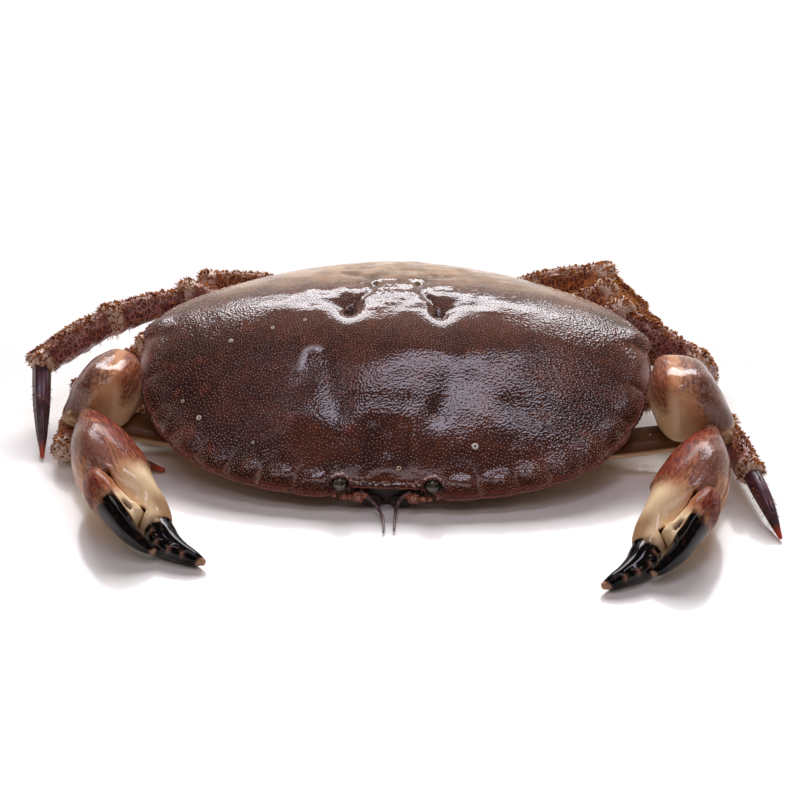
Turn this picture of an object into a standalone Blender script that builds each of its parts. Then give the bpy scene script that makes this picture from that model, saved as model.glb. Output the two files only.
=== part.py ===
"""A brown crab lying on its belly, claws and legs folded in close. Metres, +Z up, the crab faces -Y.

Every piece of the crab's hard shell is one closed solid. Each starts as a sphere whose rings are moved to
the sections of that piece, and a piece that plugs into the one before it has a socket cut for its end.
"""
import math

import bmesh
import bpy
from mathutils import Vector

MM = 0.001
GAP = 0.4            # between two pieces that meet, mm

# The back shell, mm
SHELL_HALF_WIDTH = 89.5
SHELL_FRONT = 62.5   # from the widest line to the front edge
SHELL_REAR = 50.0
FRONT_POWER = 2.65   # how square the outline is, 2 is an ellipse
REAR_POWER = 1.75
EDGE_HEIGHT = 30.0   # of the edge above the ground, at the widest line
FRONT_FALL = 0.393   # the crab lies nose down
REAR_RISE = 0.13
DOME_HEIGHT = 13.2
RIM_HALF = 1.9       # half the thickness of the rounded edge
UNDERSIDE_DEPTH = 2.8
LOBE_PITCH = math.radians(9)
LOBES_A_SIDE = 9
LOBE_SIZE = 1.7
FRONT_SET_BACK = 3.0  # of the edge between the eyes
FULLNESS = 0.85       # how soon the dome rises behind the edge, less at the rear
FULLNESS_CHANGE = 0.12
SHELL_AROUND = 120
SHELL_TOP_RINGS = (0.14, 0.28, 0.42, 0.55, 0.67, 0.78, 0.87, 0.94, 0.98)
SHELL_UNDER_RINGS = (0.97, 0.9, 0.72, 0.4)
# Swellings and pits of the back: height, distance from the middle line, place along it, half sizes
GUT = (1.3, 0, -18, 24, 17)
GILLS = (1.1, 45, 4, 22, 20)
HEART = (0.8, 0, 22, 11, 12)
PITS = (-1.6, 17, 2, 5, 6)

# The belly, mm
BELLY_HALF_WIDTH = 45.0
BELLY_FRONT = 56.5
BELLY_REAR = 43.0
BELLY_REAR_START = 6.0
BELLY_REAR_LIFT = 18.0
BELLY_KNOB = 2.4
BELLY_KNOBS = 12
BELLY_UNDER_SHELL = 1.6  # below the middle of the shell's underside
BELLY_AROUND = 48
# Share of the outline and share of the height, ring by ring from the top
BELLY_RINGS = (
    (0.55, 1.0), (0.95, 1.0), (1.0, 0.93), (1.0, 0.6),
    (0.94, 0.3), (0.84, 0.1), (0.74, 0.0), (0.4, 0.0),
)

# The tail flap folded up under the rear of the belly, mm
APRON_HALF_WIDTH = 17.0
APRON_HALF_THICKNESS = 1.2
APRON_FROM_BELLY = 1.0
APRON_START = 19.0
APRON_END = 44.0
APRON_RINGS = 8

EYE_PLACE = Vector((15.6, -58.6, 9.2))
EYE_RADIUS = 2.7
ORBIT_RADIUS = 3.2

# The two plates over the mouth, mm
MOUTH_PLACE = Vector((4.9, -58.5, 2.8))
MOUTH_RADII = Vector((3.9, 1.5, 2.3))
MOUTH_RINGS = 6

# An antenna's bends, on the crab's left, and its radius at both ends
ANTENNA = (Vector((10.3, -58.2, 3.0)), Vector((7.0, -64.0, 2.8)), Vector((1.6, -75.0, 1.2)))
ANTENNA_RADII = (1.1, 0.6)
ANTENNA_RINGS = 6

WRIST_RADII = Vector((12.9, 13.4, 12.4))
WRIST_TILT = math.radians(20)
WRIST_ROUNDNESS = 0.78  # 1 is an ellipsoid, less is nearer to a box
WRIST_RINGS = 10
ARM_WIDTHS = (7.0, 8.5, 8.0)
ARM_HEIGHTS = (5.0, 4.8, 5.2)
END_SCALE = 0.72        # of the last section before a limb's rounded end
END_REACH = 0.55        # of that end past its section, in half widths

# Half widths and half heights along a walking leg's four pieces, mm: near end, middle, far end
LEG_SECTIONS = {
    "thigh": ((4.4, 5.6, 5.3), (5.0, 7.0, 6.6)),
    "knee": ((4.1, 5.1, 5.6), (4.7, 6.0, 6.8)),
    "shin": ((4.0, 5.3, 4.9), (4.6, 6.1, 5.4)),
    "toe": ((3.2, 3.4, 1.0), (3.6, 3.9, 1.1)),
}
LEG_NAMES = tuple(LEG_SECTIONS)
LEG_PAST_JOINT = 2.6   # how far a piece reaches past the joint's middle
LEG_BOW = {"thigh": 1.5, "knee": 0.8, "shin": 1.0, "toe": 1.2}

# Joints of each walking leg from the belly to the tip, and the leg's size. The crab's own right is at -X.
LEGS = {
    "right_leg_1": (((-40, -9, 8), (-90, 7, 21.5), (-110, -4, 11.5), (-113, -36, 6), (-78, -41, 1.4)), 0.94),
    "right_leg_2": (((-41, 9, 11), (-79, 20, 16.5), (-96, 14, 8), (-88, -12, 5.5), (-64, -14, 1.4)), 0.9),
    "right_leg_3": (((-39, 27, 15), (-79, 40, 26.5), (-104, 20, 27.5), (-128, -3, 22), (-122, -34, 1)), 1.0),
    "right_leg_4": (((-31, 40, 20), (-73, 52, 25), (-87, 46, 15), (-82, 28, 7), (-60, 6, 1.6)), 0.86),
    "left_leg_1": (((40, -9, 8), (91, 2, 12.5), (115, -15, 9), (122.5, -45, 10), (131, -72, 1.2)), 0.96),
    "left_leg_2": (((41, 9, 11), (81, 34, 27), (106, 14.5, 18.5), (112, 28, 6.5), (85, 25, 1.6)), 1.0),
    "left_leg_3": (((39, 27, 15), (75.5, 47.5, 28), (90, 44, 17), (94, 42, 6), (66, 37, 1.6)), 0.9),
    "left_leg_4": (((31, 40, 20), (75, 60.5, 28), (86, 60, 16), (78, 57, 6), (51, 47, 1.6)), 0.86),
}

# Where each claw's palm starts, where its fixed finger ends, its wrist's middle and its arm's bends
CLAWS = {
    "right": dict(palm=(-99, -35, 21), tip=(-57, -97, 2.8), wrist=(-102, -23.4, 25.6),
                  arm=((-34, -28, 8), (-62, -27, 8.8), (-89, -24.5, 12.3))),
    "left": dict(palm=(103.5, -36, 21), tip=(71.6, -104, 2.8), wrist=(104, -24.2, 25.8),
                 arm=((34, -28, 8), (62, -27, 8.8), (91, -25, 12.3))),
}
# A claw's sections, in mm along the line from palm to tip, outward of it and above it, with half sizes
PALM_SECTIONS = (
    ((-4.0, 3.0, 0.0), 4.5, 5.0), ((3.0, 5.6, 0.8), 7.5, 7.5), ((12.0, 6.8, 1.2), 10.6, 10.0),
    ((22.0, 7.4, 0.6), 12.4, 11.2), ((31.0, 8.6, 0.0), 12.4, 11.0), ((39.0, 8.8, -0.8), 10.8, 9.6),
    ((46.0, 7.0, -1.6), 8.0, 8.0), ((54.0, 6.2, -2.0), 5.8, 6.2), ((62.0, 5.6, -1.6), 4.6, 4.8),
    ((70.0, 3.6, -0.8), 3.3, 3.4),
)
FINGER_SECTIONS = (
    ((27.5, 14.6, 3.0), 5.2, 6.0), ((33.0, 15.0, 3.4), 6.6, 7.0), ((40.0, 15.4, 3.0), 6.2, 6.6),
    ((48.0, 15.6, 2.2), 4.6, 5.4), ((55.5, 14.0, 0.8), 3.0, 3.8),
)
FINGER_TIP = (61.0, 10.8, -1.2)
CLAW_AROUND = 16

SHELL_COLOUR = (0.045, 0.016, 0.012, 1)
LEG_COLOUR = (0.16, 0.05, 0.04, 1)
CLAW_COLOUR = (0.42, 0.2, 0.11, 1)
BELLY_COLOUR = (0.55, 0.36, 0.2, 1)
EYE_COLOUR = (0.01, 0.012, 0.01, 1)


def clear_scene():
    for thing in list(bpy.data.objects):
        bpy.data.objects.remove(thing)


def new_collection(name):
    made = bpy.data.collections.new(name)
    bpy.context.scene.collection.children.link(made)
    return made


def new_material(name, colour, roughness):
    made = bpy.data.materials.new(name)
    made.use_nodes = True
    shader = made.node_tree.nodes["Principled BSDF"]
    shader.inputs["Base Color"].default_value = colour
    shader.inputs["Roughness"].default_value = roughness
    shader.inputs["Metallic"].default_value = 0.0
    return made


def smoothstep(value):
    share = min(max(value, 0.0), 1.0)
    return share * share * (3 - 2 * share)


def shaped_sphere(name, around, rings, place, collection, material=None):
    """A sphere whose point at an angle, on a ring from 0 at one pole to the other, goes to place()."""
    form = bmesh.new()
    bmesh.ops.create_uvsphere(form, u_segments=around, v_segments=rings, radius=1.0)
    for point in form.verts:
        ring = round((0.5 - math.asin(max(-1.0, min(1.0, point.co.z))) / math.pi) * rings)
        angle = math.atan2(point.co.y, point.co.x)
        point.co = place(angle, ring) * MM
    if form.calc_volume(signed=True) < 0:
        bmesh.ops.reverse_faces(form, faces=form.faces)
    mesh = bpy.data.meshes.new(name)
    form.to_mesh(mesh)
    form.free()
    mesh.shade_smooth()
    made = bpy.data.objects.new(name, mesh)
    collection.objects.link(made)
    made.parent = root
    if material:
        mesh.materials.append(material)
    else:
        made.hide_render = True
        made.display_type = "WIRE"
    return made


def cut(body, cutter):
    socket = body.modifiers.new("Socket", "BOOLEAN")
    socket.operation = "DIFFERENCE"
    socket.object = cutter


def edge_height(y):
    """Height of the shell's edge above the ground, with a smooth bend at the widest line."""
    blend = smoothstep((y + 35) / 70)
    return EDGE_HEIGHT + y * (FRONT_FALL * (1 - blend) + REAR_RISE * blend)


def shell_outline(angle):
    """The shell's edge seen from above, without lobes."""
    across, along = math.cos(angle), math.sin(angle)
    depth, power = (SHELL_REAR, REAR_POWER) if along > 0 else (SHELL_FRONT, FRONT_POWER)
    x = SHELL_HALF_WIDTH * math.copysign(abs(across) ** (2 / power), across)
    y = depth * math.copysign(abs(along) ** (2 / power), along)
    return Vector((x, y, 0))


def share_of_shell(x, y):
    """0 at the shell's middle, 1 on its edge."""
    depth, power = (SHELL_REAR, REAR_POWER) if y > 0 else (SHELL_FRONT, FRONT_POWER)
    return ((abs(x) / SHELL_HALF_WIDTH) ** power + (abs(y) / depth) ** power) ** (1 / power)


def lobe(angle):
    """How far the edge stands out at this angle: round lobes from the eyes to the widest line."""
    from_side = math.atan2(-math.sin(angle), abs(math.cos(angle)))
    place = from_side / LOBE_PITCH
    if place < 0 or place > LOBES_A_SIDE:
        return 0.0
    return LOBE_SIZE * (abs(math.sin(math.pi * place)) ** 0.5 - 0.4)


def set_back(x):
    """The edge between the eyes lies a little further back."""
    return FRONT_SET_BACK * (1 - smoothstep((abs(x) - 12) / 9))


def rim(share):
    return RIM_HALF * math.sqrt(max(0.0, 1 - share**12))


def shell_relief(x, y):
    """Low swellings over the gut, the gills and the heart, and the pits beside the heart."""
    total = 0.0
    for height, aside, along, half_width, half_length in (GUT, GILLS, HEART, PITS):
        spread = ((abs(x) - aside) / half_width) ** 2 + ((y - along) / half_length) ** 2
        total += height * math.exp(-spread)
    return total


def shell_top(x, y):
    share = min(share_of_shell(x, y), 1.0)
    fullness = FULLNESS - FULLNESS_CHANGE * max(-1.0, min(1.0, y / SHELL_REAR))
    dome = DOME_HEIGHT * (1 - share**2) ** fullness
    inside = smoothstep((1 - share) / 0.3)
    return edge_height(y) + dome + rim(share) + shell_relief(x, y) * inside


def shell_under(x, y):
    share = min(share_of_shell(x, y), 1.0)
    return edge_height(y) - rim(share) - UNDERSIDE_DEPTH * smoothstep((1 - share) / 0.35)


def shell_point(angle, ring):
    """A point of the back shell: rings over the top, then the edge, then rings over the underside."""
    shares = (0.0,) + SHELL_TOP_RINGS + (1.0,) + SHELL_UNDER_RINGS + (0.0,)
    share = shares[ring]
    on_top = ring <= len(SHELL_TOP_RINGS)
    flat = shell_outline(angle) * share
    height = shell_top(flat.x, flat.y) if on_top else shell_under(flat.x, flat.y)
    near_edge = smoothstep((share - 0.86) / 0.14)
    flat += shell_outline(angle).normalized() * lobe(angle) * near_edge
    if math.sin(angle) < 0:
        flat.y += set_back(flat.x) * near_edge
    return Vector((flat.x, flat.y, height))


def make_shell(pieces, cutters):
    rings = len(SHELL_TOP_RINGS) + len(SHELL_UNDER_RINGS) + 2
    shell = shaped_sphere("carapace", SHELL_AROUND, rings, shell_point, pieces, materials["shell"])
    for side in (-1, 1):
        middle = Vector((EYE_PLACE.x * side, EYE_PLACE.y, EYE_PLACE.z))
        name = "left" if side > 0 else "right"
        orbit = make_ball(f"orbit_{name}", middle, ORBIT_RADIUS, 14, 8, cutters)
        cut(shell, orbit)
        make_ball(f"{name}_eye", middle, EYE_RADIUS, 10, 7, pieces, materials["eye"])


def make_ball(name, middle, radius, around, rings, collection, material=None):
    def place(angle, ring):
        turn = math.pi * ring / rings
        flat = radius * math.sin(turn)
        return middle + Vector((flat * math.cos(angle), flat * math.sin(angle), radius * math.cos(turn)))

    return shaped_sphere(name, around, rings, place, collection, material)


def belly_underside(y):
    """Flat where the crab rests, rising towards the tail."""
    past = max(0.0, y - BELLY_REAR_START) / (BELLY_REAR - BELLY_REAR_START)
    return BELLY_REAR_LIFT * past**1.3


def belly_point(angle, ring):
    shares = ((0.0, 1.0),) + BELLY_RINGS + ((0.0, 0.0),)
    share, level = shares[ring]
    across, along = math.cos(angle), math.sin(angle)
    depth, power = (BELLY_REAR, 2.6) if along > 0 else (BELLY_FRONT, 1.9)
    x = BELLY_HALF_WIDTH * math.copysign(abs(across) ** (2 / power), across)
    y = depth * math.copysign(abs(along) ** (2 / power), along)
    flank = smoothstep((abs(across) - 0.35) / 0.3) * (1 if 0 < level < 1 else 0)
    knob = 1 + BELLY_KNOB / BELLY_HALF_WIDTH * flank * math.cos(math.asin(along) * BELLY_KNOBS)
    x *= share * knob
    y *= share * knob
    top = shell_under(x, y) - BELLY_UNDER_SHELL
    low = belly_underside(y)
    return Vector((x, y, low + (top - low) * level))


def make_belly(pieces):
    rings = len(BELLY_RINGS) + 1
    return shaped_sphere("belly", BELLY_AROUND, rings, belly_point, pieces, materials["belly"])


def apron_point(angle, ring):
    """The tail flap: a thin tongue that follows the slope of the belly."""
    turn = math.pi * ring / APRON_RINGS
    fullness = math.sin(turn) if 0 < ring < APRON_RINGS else 0.0
    y = APRON_START + (APRON_END - APRON_START) * (1 - math.cos(turn)) / 2
    slope = belly_underside(y + 0.5) - belly_underside(y - 0.5)
    away = Vector((0, slope, -1)).normalized()
    middle = Vector((0, y, belly_underside(y))) + away * (APRON_FROM_BELLY + APRON_HALF_THICKNESS)
    across = APRON_HALF_WIDTH * fullness**0.7 * math.cos(angle)
    return middle + Vector((across, 0, 0)) + away * APRON_HALF_THICKNESS * fullness**0.5 * math.sin(angle)


def section_frame(tangent, side):
    across = (side - tangent * side.dot(tangent)).normalized()
    return across, tangent.cross(across).normalized()


def tube_point(path, sizes, side, grow, angle, ring, rings):
    """A point of a limb piece: rounded at both ends, its sections square to its path."""
    share = min(max((ring - 1) / (rings - 2), 0.0), 1.0)
    here = path(share)
    tangent = (path(min(share + 0.02, 1.0)) - path(max(share - 0.02, 0.0))).normalized()
    across, up = section_frame(tangent, side)
    half_width, half_height = sizes(share)
    if ring in (0, rings):
        reach = END_REACH * half_width + grow
        return here + tangent * (reach if ring else -reach)
    scale = END_SCALE if ring in (1, rings - 1) else 1.0
    flat = across * math.cos(angle) * (half_width * scale + grow)
    return here + flat + up * math.sin(angle) * (half_height * scale + grow)


def between(values, share):
    """A value on the smooth curve through evenly spaced values."""
    place = share * (len(values) - 1)
    low = min(int(place), len(values) - 2)
    part = place - low
    before = values[max(low - 1, 0)]
    start, end = values[low], values[low + 1]
    after = values[min(low + 2, len(values) - 1)]
    first = (end - before) * 0.5
    last = (after - start) * 0.5
    return (start * (1 - 3 * part**2 + 2 * part**3) + end * (3 * part**2 - 2 * part**3)
            + first * (part - 2 * part**2 + part**3) + last * (part**3 - part**2))


def make_limb(name, points, widths, heights, around, rings, side, pieces, cutters, material):
    """One piece of a limb, and the slightly larger copy that cuts its socket."""
    def path(share):
        return between(points, share)

    def sizes(share):
        return between(widths, share), between(heights, share)

    def grown_by(grow):
        return lambda angle, ring: tube_point(path, sizes, side, grow, angle, ring, rings)

    made = shaped_sphere(name, around, rings, grown_by(0.0), pieces, material)
    cutter = shaped_sphere(f"{name}_socket", around, rings, grown_by(GAP), cutters)
    return made, cutter


def make_leg(name, joints, size, belly, pieces, cutters):
    before = belly
    joints = [Vector(joint) for joint in joints]
    for index, part in enumerate(LEG_NAMES):
        start, end = joints[index], joints[index + 1]
        along = (end - start).normalized()
        past = 0.0 if part == "toe" else LEG_PAST_JOINT
        middle = (start + end) / 2 + Vector((0, 0, LEG_BOW[part]))
        points = [start, middle, end + along * past]
        widths = [value * size for value in LEG_SECTIONS[part][0]]
        heights = [value * size for value in LEG_SECTIONS[part][1]]
        side = Vector((along.y, -along.x, 0.0))
        around, rings = (6, 6) if part == "toe" else (8, 6)
        made, cutter = make_limb(f"{name}_{part}", points, widths, heights, around, rings, side,
                                 pieces, cutters, materials["leg"])
        cut(before, cutter)
        before = made


def claw_frame(claw, side):
    """From the claw's own mm, along, outward and up, to the crab's."""
    start, tip = Vector(claw["palm"]), Vector(claw["tip"])
    along = (tip - start).normalized()
    outward = Vector((-along.y * side, along.x * side, 0)).normalized()
    if outward.x * side < 0:
        outward = -outward
    up = along.cross(outward).normalized()
    if up.z < 0:
        up = -up
    return lambda place: start + along * place[0] + outward * place[1] + up * place[2], outward


def make_claw(name, claw, side, belly, pieces, cutters):
    place, outward = claw_frame(claw, side)
    arm_points = [Vector(point) for point in claw["arm"]]
    arm, arm_cutter = make_limb(f"{name}_claw_arm", arm_points, ARM_WIDTHS, ARM_HEIGHTS,
                                10, 7, Vector((0, 1, 0)), pieces, cutters, materials["claw"])
    cut(belly, arm_cutter)
    wrist, wrist_cutter = make_wrist(f"{name}_claw_wrist", Vector(claw["wrist"]), side, pieces, cutters)
    cut(arm, wrist_cutter)

    reach = (Vector(claw["tip"]) - Vector(claw["palm"])).length
    palm_points = [place(section[0]) for section in PALM_SECTIONS] + [place((reach - 1, 0.2, 0))]
    palm_widths = [section[1] for section in PALM_SECTIONS] + [1.5]
    palm_heights = [section[2] for section in PALM_SECTIONS] + [1.6]
    palm, palm_cutter = make_limb(f"{name}_claw_palm", palm_points, palm_widths, palm_heights,
                                  CLAW_AROUND, 15, outward, pieces, cutters, materials["claw"])
    cut(wrist, palm_cutter)

    finger_points = [place(section[0]) for section in FINGER_SECTIONS] + [place(FINGER_TIP)]
    finger_widths = [section[1] for section in FINGER_SECTIONS] + [1.4]
    finger_heights = [section[2] for section in FINGER_SECTIONS] + [1.5]
    finger, finger_cutter = make_limb(f"{name}_claw_finger", finger_points, finger_widths, finger_heights,
                                      12, 10, outward, pieces, cutters, materials["claw"])
    cut(palm, finger_cutter)


def make_wrist(name, middle, side, pieces, cutters):
    """The rounded box between arm and palm."""
    def rounded(value):
        return math.copysign(abs(value) ** WRIST_ROUNDNESS, value)

    def grown_by(grow):
        def place(angle, ring):
            turn = math.pi * ring / WRIST_RINGS
            flat = rounded(math.sin(turn)) if 0 < ring < WRIST_RINGS else 0.0
            x = rounded(math.cos(angle)) * flat * (WRIST_RADII.x + grow)
            y = rounded(math.sin(angle)) * flat * (WRIST_RADII.y + grow)
            z = math.cos(turn) * (WRIST_RADII.z + grow)
            ahead, aside = math.cos(WRIST_TILT), math.sin(WRIST_TILT) * side
            return middle + Vector((x * ahead - y * aside, x * aside + y * ahead, z))

        return place

    made = shaped_sphere(name, 16, WRIST_RINGS, grown_by(0.0), pieces, materials["claw"])
    cutter = shaped_sphere(f"{name}_socket", 16, WRIST_RINGS, grown_by(GAP), cutters)
    return made, cutter


def mirrored(point, side):
    return Vector((point.x * side, point.y, point.z))


def make_antenna(name, side, pieces):
    """One of the two thin antennae that hang from beside the mouth to the ground and nearly meet."""
    points = [mirrored(point, side) for point in ANTENNA]

    def path(share):
        return between(points, share)

    def sizes(share):
        radius = ANTENNA_RADII[0] + (ANTENNA_RADII[1] - ANTENNA_RADII[0]) * share
        return radius, radius

    def place(angle, ring):
        return tube_point(path, sizes, Vector((1, 0, 0)), 0.0, angle, ring, ANTENNA_RINGS)

    shaped_sphere(f"{name}_antenna", 6, ANTENNA_RINGS, place, pieces, materials["leg"])


def make_mouth_plate(name, side, pieces):
    """One of the two plates that close over the mouth."""
    middle = mirrored(MOUTH_PLACE, side)

    def place(angle, ring):
        turn = math.pi * ring / MOUTH_RINGS
        flat = math.sin(turn)
        return middle + Vector((
            MOUTH_RADII.x * flat * math.cos(angle),
            MOUTH_RADII.y * flat * math.sin(angle),
            MOUTH_RADII.z * math.cos(turn),
        ))

    shaped_sphere(f"{name}_mouth_plate", 10, MOUTH_RINGS, place, pieces, materials["belly"])


def stand_on_origin(collection):
    """Moves the whole crab so that its box stands on the origin."""
    bpy.context.view_layer.update()
    graph = bpy.context.evaluated_depsgraph_get()
    low, high = Vector((1e9,) * 3), Vector((-1e9,) * 3)
    for thing in collection.objects:
        seen = thing.evaluated_get(graph)
        for point in seen.to_mesh().vertices:
            place = seen.matrix_world @ point.co
            low = Vector(map(min, low, place))
            high = Vector(map(max, high, place))
        seen.to_mesh_clear()
    root.location = Vector((-(low.x + high.x) / 2, -(low.y + high.y) / 2, -low.z))


clear_scene()
crab = new_collection("brown_crab")
sockets = new_collection("cutters")
root = bpy.data.objects.new("crab_root", None)
crab.objects.link(root)
materials = {
    "shell": new_material("back_shell", SHELL_COLOUR, 0.3),
    "claw": new_material("claw_shell", CLAW_COLOUR, 0.3),
    "leg": new_material("leg_shell", LEG_COLOUR, 0.5),
    "belly": new_material("belly_shell", BELLY_COLOUR, 0.45),
    "eye": new_material("eye", EYE_COLOUR, 0.05),
}
make_shell(crab, sockets)
belly = make_belly(crab)
shaped_sphere("apron", 14, APRON_RINGS, apron_point, crab, materials["belly"])
for side, name in ((-1, "right"), (1, "left")):
    make_claw(name, CLAWS[name], side, belly, crab, sockets)
    make_antenna(name, side, crab)
    make_mouth_plate(name, side, crab)
for name, (joints, size) in LEGS.items():
    make_leg(name, joints, size, belly, crab, sockets)
crab.objects.unlink(root)
bpy.context.scene.collection.objects.link(root)
stand_on_origin(crab)
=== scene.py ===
# %% [markdown]
# # A brown crab, dressed
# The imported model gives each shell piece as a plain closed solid. This lesson builds the same pieces again
# with the fine surface that a wet crab has: granules, grooves, bristles, black claw tips and glossy eyes.

# %% Load the frame
import math

import bmesh
import bpy
import numpy as np
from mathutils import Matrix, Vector
from mathutils.bvhtree import BVHTree


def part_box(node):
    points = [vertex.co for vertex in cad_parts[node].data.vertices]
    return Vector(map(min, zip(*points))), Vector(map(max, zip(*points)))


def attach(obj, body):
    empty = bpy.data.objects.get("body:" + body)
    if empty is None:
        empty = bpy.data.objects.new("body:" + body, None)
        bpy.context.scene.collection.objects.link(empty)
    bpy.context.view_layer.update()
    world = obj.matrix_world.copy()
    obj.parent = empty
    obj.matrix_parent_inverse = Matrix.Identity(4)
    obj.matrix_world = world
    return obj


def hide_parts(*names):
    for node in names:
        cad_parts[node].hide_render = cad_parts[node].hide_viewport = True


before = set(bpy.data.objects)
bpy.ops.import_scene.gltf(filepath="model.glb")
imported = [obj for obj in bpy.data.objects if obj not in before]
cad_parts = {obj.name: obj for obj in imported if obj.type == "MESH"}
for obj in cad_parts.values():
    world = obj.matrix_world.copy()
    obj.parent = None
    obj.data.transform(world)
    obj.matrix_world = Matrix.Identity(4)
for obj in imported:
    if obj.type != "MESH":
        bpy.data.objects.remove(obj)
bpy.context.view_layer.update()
MM = 0.001
print("solids", len(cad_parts))

# %% [markdown]
# The crab was measured in millimetres around the middle of its widest line. The model's origin is the middle
# of its footprint, so every place moves by the same small step.

# %% From the crab's own millimetres to the model
eye_low, eye_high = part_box("left_eye")
EYE_MIDDLE = np.array((15.6, -58.6, 9.2))
SHIFT = (np.array(eye_low) + np.array(eye_high)) / 2 / MM - EYE_MIDDLE
SHIFT[2] = 0.0
random = np.random.default_rng(7)
print("shift, mm", SHIFT.round(3))


def smooth(value):
    share = np.clip(value, 0.0, 1.0)
    return share * share * (3 - 2 * share)


# %% [markdown]
# Every new piece starts as a sphere primitive, like a ball of clay. Its rings are then moved to the sections
# of the real piece. A sphere is chosen because it is closed and has rings and spokes to follow.

# %% Clay balls
def deselect_all():
    for thing in bpy.context.selected_objects:
        thing.select_set(False)


def ball(name, around, rings):
    """A new sphere, with each point's angle around it and its share of the way from top pole to bottom pole."""
    deselect_all()
    bpy.ops.mesh.primitive_uv_sphere_add(segments=around, ring_count=rings, radius=1.0)
    made = bpy.context.object
    made.name = name
    made.data.name = name
    places = np.empty(len(made.data.vertices) * 3)
    made.data.vertices.foreach_get("co", places)
    x, y, z = places.reshape(-1, 3).T
    return made, np.arctan2(y, x), 0.5 - np.arcsin(np.clip(z, -1, 1)) / np.pi


def put(made, places):
    """Moves the points to places in the crab's millimetres, smooth shaded and with the faces outwards."""
    made.data.vertices.foreach_set("co", ((places + SHIFT) * MM).ravel())
    made.data.update()
    form = bmesh.new()
    form.from_mesh(made.data)
    if form.calc_volume(signed=True) < 0:
        bmesh.ops.reverse_faces(form, faces=form.faces)
        form.to_mesh(made.data)
    form.free()
    made.data.shade_smooth()


def mark(made, name, values):
    """Keeps a number on every point, for the material to read."""
    layer = made.data.attributes.new(name, "FLOAT", "POINT")
    layer.data.foreach_set("value", np.asarray(values, np.float32))


def dress(made, material, slot, *nodes):
    """Gives a piece its finish and its place in the model."""
    made.data.materials.clear()
    made.data.materials.append(material)
    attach(made, "root")
    if nodes:
        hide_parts(*nodes)


# %% [markdown]
# Materials are node trees. One helper turns hex colours into the linear numbers that light is worked out in,
# one fills a node's inputs, and one adds a node.

# %% Colours and nodes
def colour(text):
    parts = [int(text[i:i + 2], 16) / 255 for i in (1, 3, 5)]
    return [part / 12.92 if part <= 0.04045 else ((part + 0.055) / 1.055) ** 2.4 for part in parts] + [1.0]


def plug(made, inputs):
    """Sets a node's inputs. A value is a number, a hex colour or another node's output."""
    for name, value in inputs.items():
        if isinstance(value, bpy.types.NodeSocket):
            made.id_data.links.new(value, made.inputs[name])
        else:
            made.inputs[name].default_value = colour(value) if isinstance(value, str) else value


def node(tree, kind, inputs=None, **settings):
    """Adds a node with its settings and links."""
    made = tree.nodes.new(kind)
    for name, value in settings.items():
        setattr(made, name, value)
    plug(made, inputs or {})
    return made


def new_finish(name):
    made = bpy.data.materials.new(name)
    made.use_nodes = True
    return made, made.node_tree, made.node_tree.nodes["Principled BSDF"]


# %% [markdown]
# The photo looks down by thirty degrees from just right of the crab's nose. The camera's distance and lens were
# found by laying the solids' outline over the crab's.

# %% Camera
TARGET = (np.array((2.6, -20.3, 20.0)) + SHIFT) * MM
CAMERA_DISTANCE = 0.774
CAMERA_RISE = math.radians(30)
CAMERA_TURN = math.radians(3)
camera_data = bpy.data.cameras.new("camera")
camera_data.lens = 100
camera_data.sensor_width = 36
camera = bpy.data.objects.new("camera", camera_data)
bpy.context.scene.collection.objects.link(camera)
away = Vector((math.sin(CAMERA_TURN) * math.cos(CAMERA_RISE), -math.cos(CAMERA_TURN) * math.cos(CAMERA_RISE),
               math.sin(CAMERA_RISE)))
camera.location = Vector(TARGET) + away * CAMERA_DISTANCE
camera.rotation_euler = away.to_track_quat("Z", "Y").to_euler()
bpy.context.scene.camera = camera
print("camera", [round(v, 3) for v in camera.location])

# %% [markdown]
# Wet shell shows the lights in it. A long one above draws the pale patches on the back, a small one beside it a
# faint patch on the left, and a broad one behind the band on the rear. One in front and two at the sides only
# soften the shadows. The ground is a white sheet with a faint shine.

# %% Ground and light
deselect_all()
GROUND_SIZE = 20.0  # m, so that its far edge is out of sight
bpy.ops.mesh.primitive_plane_add(size=GROUND_SIZE, location=(0, 0, 0))
ground = bpy.context.object
ground.name = "ground"
sheet, tree, shader = new_finish("lit white acrylic sheet")
plug(shader, {"Base Color": "#fdfbf6", "Roughness": 0.16, "IOR": 1.45})
ground.data.materials.append(sheet)


def soft_light(name, place, aim, size, power, tint="#ffffff", spin=0.0):
    data = bpy.data.lights.new(name, "AREA")
    data.shape = "RECTANGLE"
    data.size, data.size_y = size
    data.energy = power
    data.color = colour(tint)[:3]
    made = bpy.data.objects.new(name, data)
    bpy.context.scene.collection.objects.link(made)
    made.location = place
    made.rotation_euler = (Vector(place) - Vector(aim)).to_track_quat("Z", "Y").to_euler()
    made.rotation_euler.rotate_axis("Z", spin)
    return made


soft_light("above", (0.17, -0.055, 1.5), (0.17, -0.055, 0), (0.76, 0.19), 3.0, "#f0eaff", math.radians(18))
soft_light("above_left", (-0.42, -0.11, 1.5), (-0.42, -0.11, 0), (0.12, 0.14), 0.16, "#f0eaff")
soft_light("front", (-0.05, -0.8, 1.5), (0, -0.05, 0), (1.4, 0.34), 3.4, "#f6e2ee")
soft_light("behind", (-0.02, 1.45, 1.42), (0, 0, 0), (1.7, 0.8), 48, "#fafaff")
soft_light("left", (-1.6, -0.3, 1.0), (0, 0, 0), (0.6, 0.6), 2, "#ffeedd")
soft_light("right", (1.6, -0.3, 1.0), (0, 0, 0), (0.6, 0.6), 2, "#ffeedd")

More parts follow.
